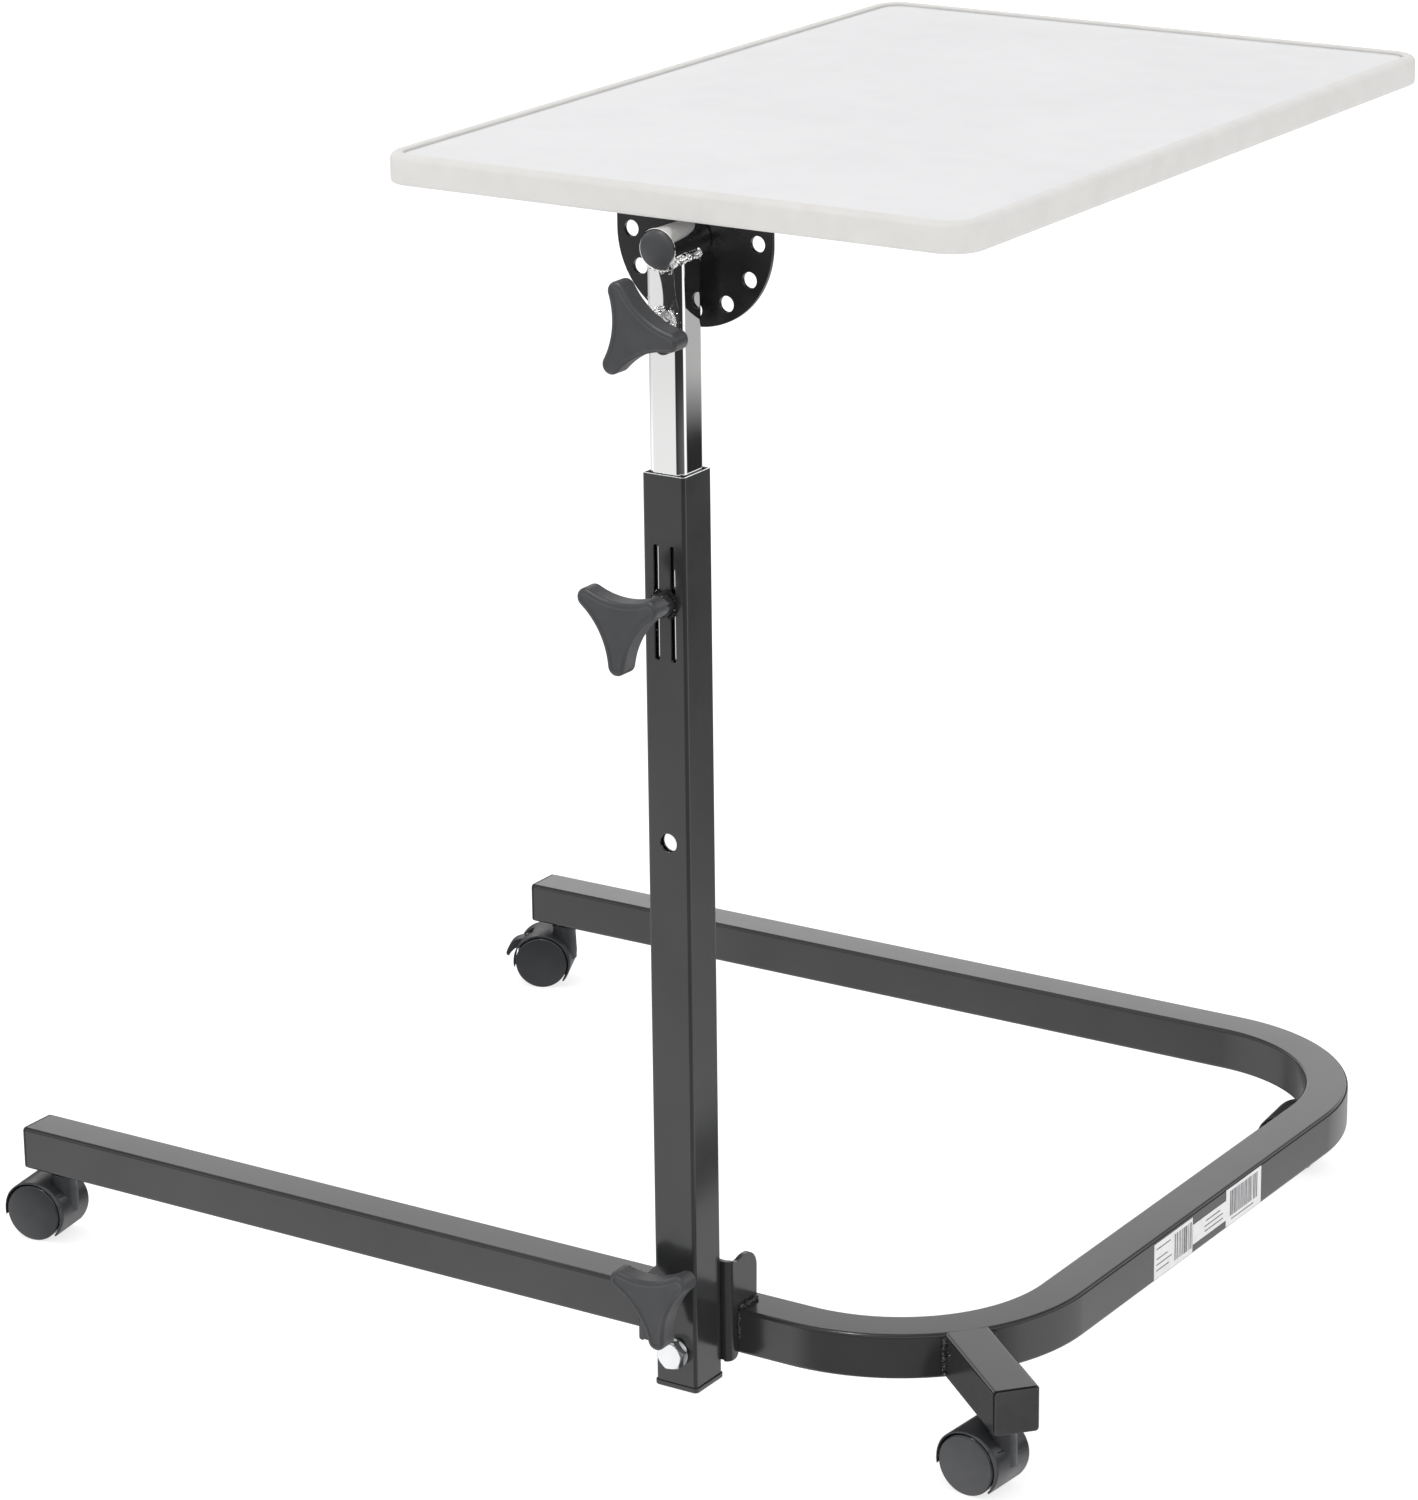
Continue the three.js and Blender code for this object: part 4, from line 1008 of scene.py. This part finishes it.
def make_tabletop():
    low, high = corners("tabletop_rim")
    edging = rectangle_stack("tabletop_rim", TABLE_CORNER, rim_profile(high.z - low.z), 20, looped=True)
    piece("table_edging", edging, RIM_PLASTIC, "tabletop", ["tabletop_rim"], limit=50)
    low, high = corners("tabletop_board")
    height = high.z - low.z
    levels = ((0.3, 0), (0, 0.3), (0, height - 0.5), (0.15, height - 0.15), (0.5, height))
    board = rectangle_stack("tabletop_board", TABLE_CORNER - 8.3, levels, 16)
    piece("table_board", board, LAMINATE, "tabletop", ["tabletop_board"], limit=50)


# ---- casters: drawn with the stem on local Z and the axle trailing towards local -X ----

WHEEL_RADIUS = 20
HOOD_RADIUS = 22.4
HOOD_WALL = 1.2
HOOD_WIDTH = 35
TRAIL = 16
WEB_HALF = 5.5
HOOD_FRONT = -40
HOOD_BACK = 190
TO_AXLE = at(-TRAIL, 0, WHEEL_RADIUS) @ TO_XZ


def around_axle(angle, radius, y):
    a = math.radians(angle)
    return Vector((-TRAIL + radius * math.cos(a), y, WHEEL_RADIUS + radius * math.sin(a)))


def sector(profile, start, end, steps, bulge=0.0):
    """A profile of (y, radius), swept around the axle from a start angle to an end angle.

    The outside of a hood may bulge below the stem, and it draws in a little towards the back.
    """
    rings = []
    for i in range(steps + 1):
        angle = start + (end - start) * i / steps
        extra = bulge * max(0.0, math.cos(math.radians(1.25 * (angle - 22)))) ** 2
        extra -= 0.6 * min(1.0, max(0.0, (angle - 145) / 30))
        rings.append([around_axle(angle, radius + extra * (radius > HOOD_RADIUS - HOOD_WALL + 0.1), y)
                      for y, radius in profile])
    return loft(rings)


def round_axle(profile, sides, sign=1):
    """A solid of revolution about the axle. The profile holds (radius, y)."""
    return loft([[around_axle(360 * i / sides, radius, sign * y) for i in range(sides)]
                 for radius, y in profile])


def hood_shell_profile():
    """The hood's roof as (y, radius), with round shoulders."""
    half, shoulder, drop = HOOD_WIDTH / 2, 0.9, 0.5
    edge = [(half - shoulder * (1 - s), HOOD_RADIUS - drop * (1 - c)) for c, s in quarter(6)]
    other = [(-y, radius) for y, radius in reversed(edge)]
    inner = HOOD_RADIUS - HOOD_WALL
    return other + edge + [(half - 0.2, inner), (-half + 0.2, inner)]


def make_hood(name, matrix, braked):
    node = f"{name}_caster_hood"
    body = f"{name}_caster"
    bulge = 0.5 if name == "far_leg" else 2.3
    obj = new_object(f"{name}_caster_cover", sector(hood_shell_profile(), HOOD_FRONT, HOOD_BACK, 72, bulge))
    web = [(-WEB_HALF, 5), (WEB_HALF, 5), (WEB_HALF, HOOD_RADIUS - 0.6), (-WEB_HALF, HOOD_RADIUS - 0.6)]
    combine(obj, sector(web, HOOD_FRONT + 1, HOOD_BACK - 1, 60), "UNION")
    combine(obj, placed(prism(circle(6.2), -WEB_HALF, WEB_HALF), TO_AXLE), "UNION")
    neck = turned([(9.2, 20), (9.2, 30), (9, 36), (8.7, 42), (9.4, 46), (8.9, 46.8)], 64)
    collar = new_object(f"{name}_caster_neck", neck)
    for y in (WEB_HALF, -WEB_HALF - 20):
        cut(collar, placed(prism(circle(HOOD_RADIUS - HOOD_WALL, 72), y, y + 20), TO_AXLE))
    combine(obj, taken(collar), "UNION")
    if braked:
        half = WEB_HALF + 0.4
        window = [(-half, 8.5), (half, 8.5), (half, 30), (-half, 30)]
        cut(obj, sector(window, 112, 190, 24))
    stem_room = prism(circle(4.3, 40), 16, 60)
    cut(obj, stem_room)
    move(obj, matrix)
    finish(obj, CASTER_PLASTIC, body, [node], bevel=0.35, segments=3, limit=50)


def make_wheel(name, side, matrix):
    """A wheel with a round tread edge and a face that rises a little towards the hub."""
    sign = -1 if side == "outer" else 1
    inner, face, edge = 5.8, 17.9, 1.2
    profile = [(3.4, inner), (WHEEL_RADIUS - 0.8, inner), (WHEEL_RADIUS - 0.1, inner + 0.8)]
    profile += [(WHEEL_RADIUS - edge * (1 - c), face - 0.45 - edge * (1 - s)) for c, s in quarter(8)]
    profile += [(14, face - 0.15), (8, face), (0.5, face)]
    disc = round_axle(profile, 96, sign)
    body = f"{name}_wheel_{side}"
    finish(move(new_object(f"{name}_{side}_disc", disc), matrix), WHEEL_PLASTIC, body, [body], limit=50)


def make_stem(name, matrix):
    profile = [(0.5, 27), (3.6, 27), (4, 27.5), (4, 47.2), (7.6, 47.2), (8, 47.5), (8, 49.4), (7.6, 49.7),
               (4, 49.8), (4, 65), (3.4, 66), (0.5, 66)]
    stem = placed(turned(profile, 48), matrix)
    piece(f"{name}_stem_pin", stem, ZINC, "base", [f"{name}_caster_stem"], limit=40)


def make_axle(name, matrix):
    half = 12.5
    profile = [(2.4, -half), (3, -half + 0.6), (3, half - 0.6), (2.4, half)]
    axle = placed(round_axle(profile, 40), matrix)
    piece(f"{name}_axle_pin", axle, ZINC, f"{name}_caster", [f"{name}_caster_axle"], limit=40)


def make_brake_lever(name, matrix):
    """A curved pedal that leaves the hood's window and points down behind it."""
    pivot = around_axle(140, 14, 0)
    outline = arc(0, 0, 3.4, -120, -300, 14)
    outline += [(-4.5, 6.4)]
    outline += curve_through((-5, 6.5), (-15.5, 5.5), (-18.6, -6), 14)
    outline += [(-18.2, -7.4), (-17.2, -8.2)]
    outline += curve_through((-16.4, -8.2), (-12.5, -0.6), (-6, -0.6), 12)
    half = WEB_HALF - 0.3
    pedal = placed(placed(prism(outline, -half, half), at(*pivot) @ TO_XZ), matrix)
    body = f"{name}_brake_lever"
    piece(f"{name}_brake_pedal", pedal, CASTER_PLASTIC, body, [body], bevel=0.5)


def make_casters():
    for name in ("mast_leg", "far_leg", "outrigger", "far_corner"):
        stem = middle(f"{name}_caster_stem")
        axle = middle(f"{name}_caster_axle")
        turn = math.atan2(stem.y - axle.y, stem.x - axle.x)
        matrix = at(stem.x, stem.y, 0) @ Matrix.Rotation(turn, 4, "Z")
        braked = f"{name}_brake_lever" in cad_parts
        make_hood(name, matrix, braked)
        make_wheel(name, "inner", matrix)
        make_wheel(name, "outer", matrix)
        make_stem(name, matrix)
        make_axle(name, matrix)
        if braked:
            make_brake_lever(name, matrix)


# ---- stage ----


def make_floor():
    mesh = bpy.data.meshes.new("floor")
    reach = 30
    mesh.from_pydata([(-reach, -reach, 0), (reach, -reach, 0), (reach, reach, 0), (-reach, reach, 0)], [],
                     [(0, 1, 2, 3)])
    floor = linked("floor", mesh)
    material = surface("pale_floor", "", (0.4, 0.4, 0.4), 0.8,
                       tones=((0.39, 0.39, 0.39), (0.41, 0.41, 0.41), 0.7))
    mesh.materials.append(material)
    tree = material.node_tree
    connect(tree, tree.nodes["Principled BSDF"], {"Emission Color": (1, 1, 1, 1), "Emission Strength": 0.74})
    floor.visible_glossy = False


def math_node(tree, operation, *inputs):
    node = add_node(tree, "Math", {})
    node.operation = operation
    connect(tree, node, dict(enumerate(inputs)))
    return node.outputs["Value"]


def grey_ramp(tree, value, span, stops):
    """Turns a value into greys. It covers a span of degrees, and the stops hold (degrees, grey)."""
    ramp = add_node(tree, "ValToRGB", {"Fac": value})
    elements = ramp.color_ramp.elements
    while len(elements) < len(stops):
        elements.new(0.5)
    for element, (degrees, grey) in zip(elements, stops):
        element.position = degrees / span + 0.5
        element.color = (grey, grey, grey, 1)
    return ramp.outputs["Color"]


def mixed(tree, factor, a, b):
    mix = add_node(tree, "Mix", {})
    mix.data_type = "RGBA"
    connect(tree, mix, {"Factor": factor, "A": a, "B": b})
    return mix.outputs["Result"]


# What gloss mirrors below the horizon, all round, as (heading in degrees, grey).
HIGH_RING = [
    (-180, 0.2), (-150, 0.25), (-132, 0.29), (-119, 0.26), (-113, 0.01), (2, 0.01), (12, 0.4), (46, 0.38),
    (56, 0.15), (72, 0.16), (110, 0.2), (180, 0.2),
]
MIDDLE_RING = [
    (-180, 0.3), (-150, 0.4), (-132, 0.32), (-119, 0.28), (-113, 0.01), (0, 0.05), (12, 0.4), (46, 0.3),
    (53, 0.004), (72, 0.02), (110, 0.15), (180, 0.3),
]
LOW_RING = [
    (-180, 0.2), (-150, 0.4), (-132, 0.5), (-118, 0.45), (-108, 0.16), (-8, 0.16), (12, 0.45), (44, 0.36),
    (58, 0.33), (70, 0.45), (110, 0.16), (160, 0.06),
]
# What gloss mirrors above it, as (climb in degrees, grey).
SKY = [(15, 0.78), (18, 0.68), (21, 0.5), (27, 0.32), (36, 0.1)]
HORIZON = (0.01, 0.01, 0.01, 1)
WHITE_STRENGTH, GLOSS_STRENGTH = 1.06, 3.2


def make_world():
    """An even white studio for light. Gloss mirrors dark and light rings, and a sky that dims upwards."""
    world = bpy.data.worlds.new("studio")
    bpy.context.scene.world = world
    world.use_nodes = True
    tree = world.node_tree
    place = add_node(tree, "TexCoord", {}).outputs["Generated"]
    split = add_node(tree, "SeparateXYZ", {"Vector": place})
    heading = math_node(tree, "ARCTAN2", split.outputs["Y"], split.outputs["X"])
    turn = math_node(tree, "MULTIPLY_ADD", heading, 1 / (2 * math.pi), 0.5)
    height = math_node(tree, "ARCSINE", split.outputs["Z"])
    climb = math_node(tree, "MULTIPLY_ADD", height, 1 / math.pi, 0.5)

    def step(start, end):
        return grey_ramp(tree, climb, 180, [(start, 0), (end, 1)])

    high, middle_ring, low = (grey_ramp(tree, turn, 360, ring) for ring in (HIGH_RING, MIDDLE_RING, LOW_RING))
    colour = mixed(tree, step(-24, -16), low, middle_ring)
    colour = mixed(tree, step(-14.7, -14.2), colour, high)
    colour = mixed(tree, step(-11, -8), colour, HORIZON)
    colour = mixed(tree, step(9, 16), colour, grey_ramp(tree, climb, 180, SKY))

    background = tree.nodes["Background"]
    connect(tree, background, {"Strength": WHITE_STRENGTH, "Color": (1, 1, 1, 1)})
    glossy = add_node(tree, "Background", {"Strength": GLOSS_STRENGTH, "Color": colour})
    mix = add_node(tree, "MixShader", {
        "Fac": add_node(tree, "LightPath", {}).outputs["Is Glossy Ray"],
        1: background.outputs["Background"], 2: glossy.outputs["Background"],
    })
    connect(tree, tree.nodes["World Output"], {"Surface": mix.outputs["Shader"]})


def area_light(name, place, target, size, power, lights_matt=True):
    """A lamp at a place in metres, turned to a target. It may leave all but gloss unlit."""
    data = bpy.data.lights.new(name, "AREA")
    data.shape = "RECTANGLE"
    data.size = data.size_y = size
    data.energy = power
    light = linked(name, data)
    light.location = place
    light.rotation_euler = (Vector(target) - Vector(place)).to_track_quat("-Z", "Y").to_euler()
    light.visible_camera = False
    light.visible_diffuse = lights_matt


def make_lights():
    area_light("soft_top", (-0.6, -0.5, 3.2), (0, 0, 0.3), 2.4, 16)
    area_light("glint", (0, -1.15, 2.2), (0, 0, 0.1), 0.3, 14, False)


CAMERA_PLACE = Vector((CROSS_BAR_X + 1446.9, MAST_LEG_Y - 2525.5, BASE_LOW.z + 1386.6))
CAMERA_TURN, CAMERA_PITCH, CAMERA_ROLL = 32.93, -18.21, -0.71
CAMERA_LENS = 125.27


def make_camera():
    data = bpy.data.cameras.new("camera")
    data.sensor_fit = "AUTO"
    data.sensor_width = 36
    data.lens = CAMERA_LENS
    data.clip_end = 100
    camera = linked("camera", data)
    aim = about("Z", CAMERA_TURN) @ about("X", 90 + CAMERA_PITCH) @ about("Z", CAMERA_ROLL)
    camera.matrix_world = Matrix.Translation(CAMERA_PLACE * MM) @ aim
    bpy.context.scene.camera = camera


make_camera()
make_world()
make_lights()
make_floor()

make_base_frame()
make_outrigger()
make_plugs()
make_labels()
make_bracket()
make_pivot_hardware()
make_outer_mast()
make_mast_plastics()
make_height_nut()
make_inner_mast()
make_head()
make_head_welds()
make_lock_parts()
make_quadrant()
make_support()
make_tabletop()
make_casters()
shaft_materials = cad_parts["tilt_shaft"].data.materials
shaft_materials.clear()
shaft_materials.append(ZINC)
bpy.context.scene.view_settings.view_transform = "Standard"
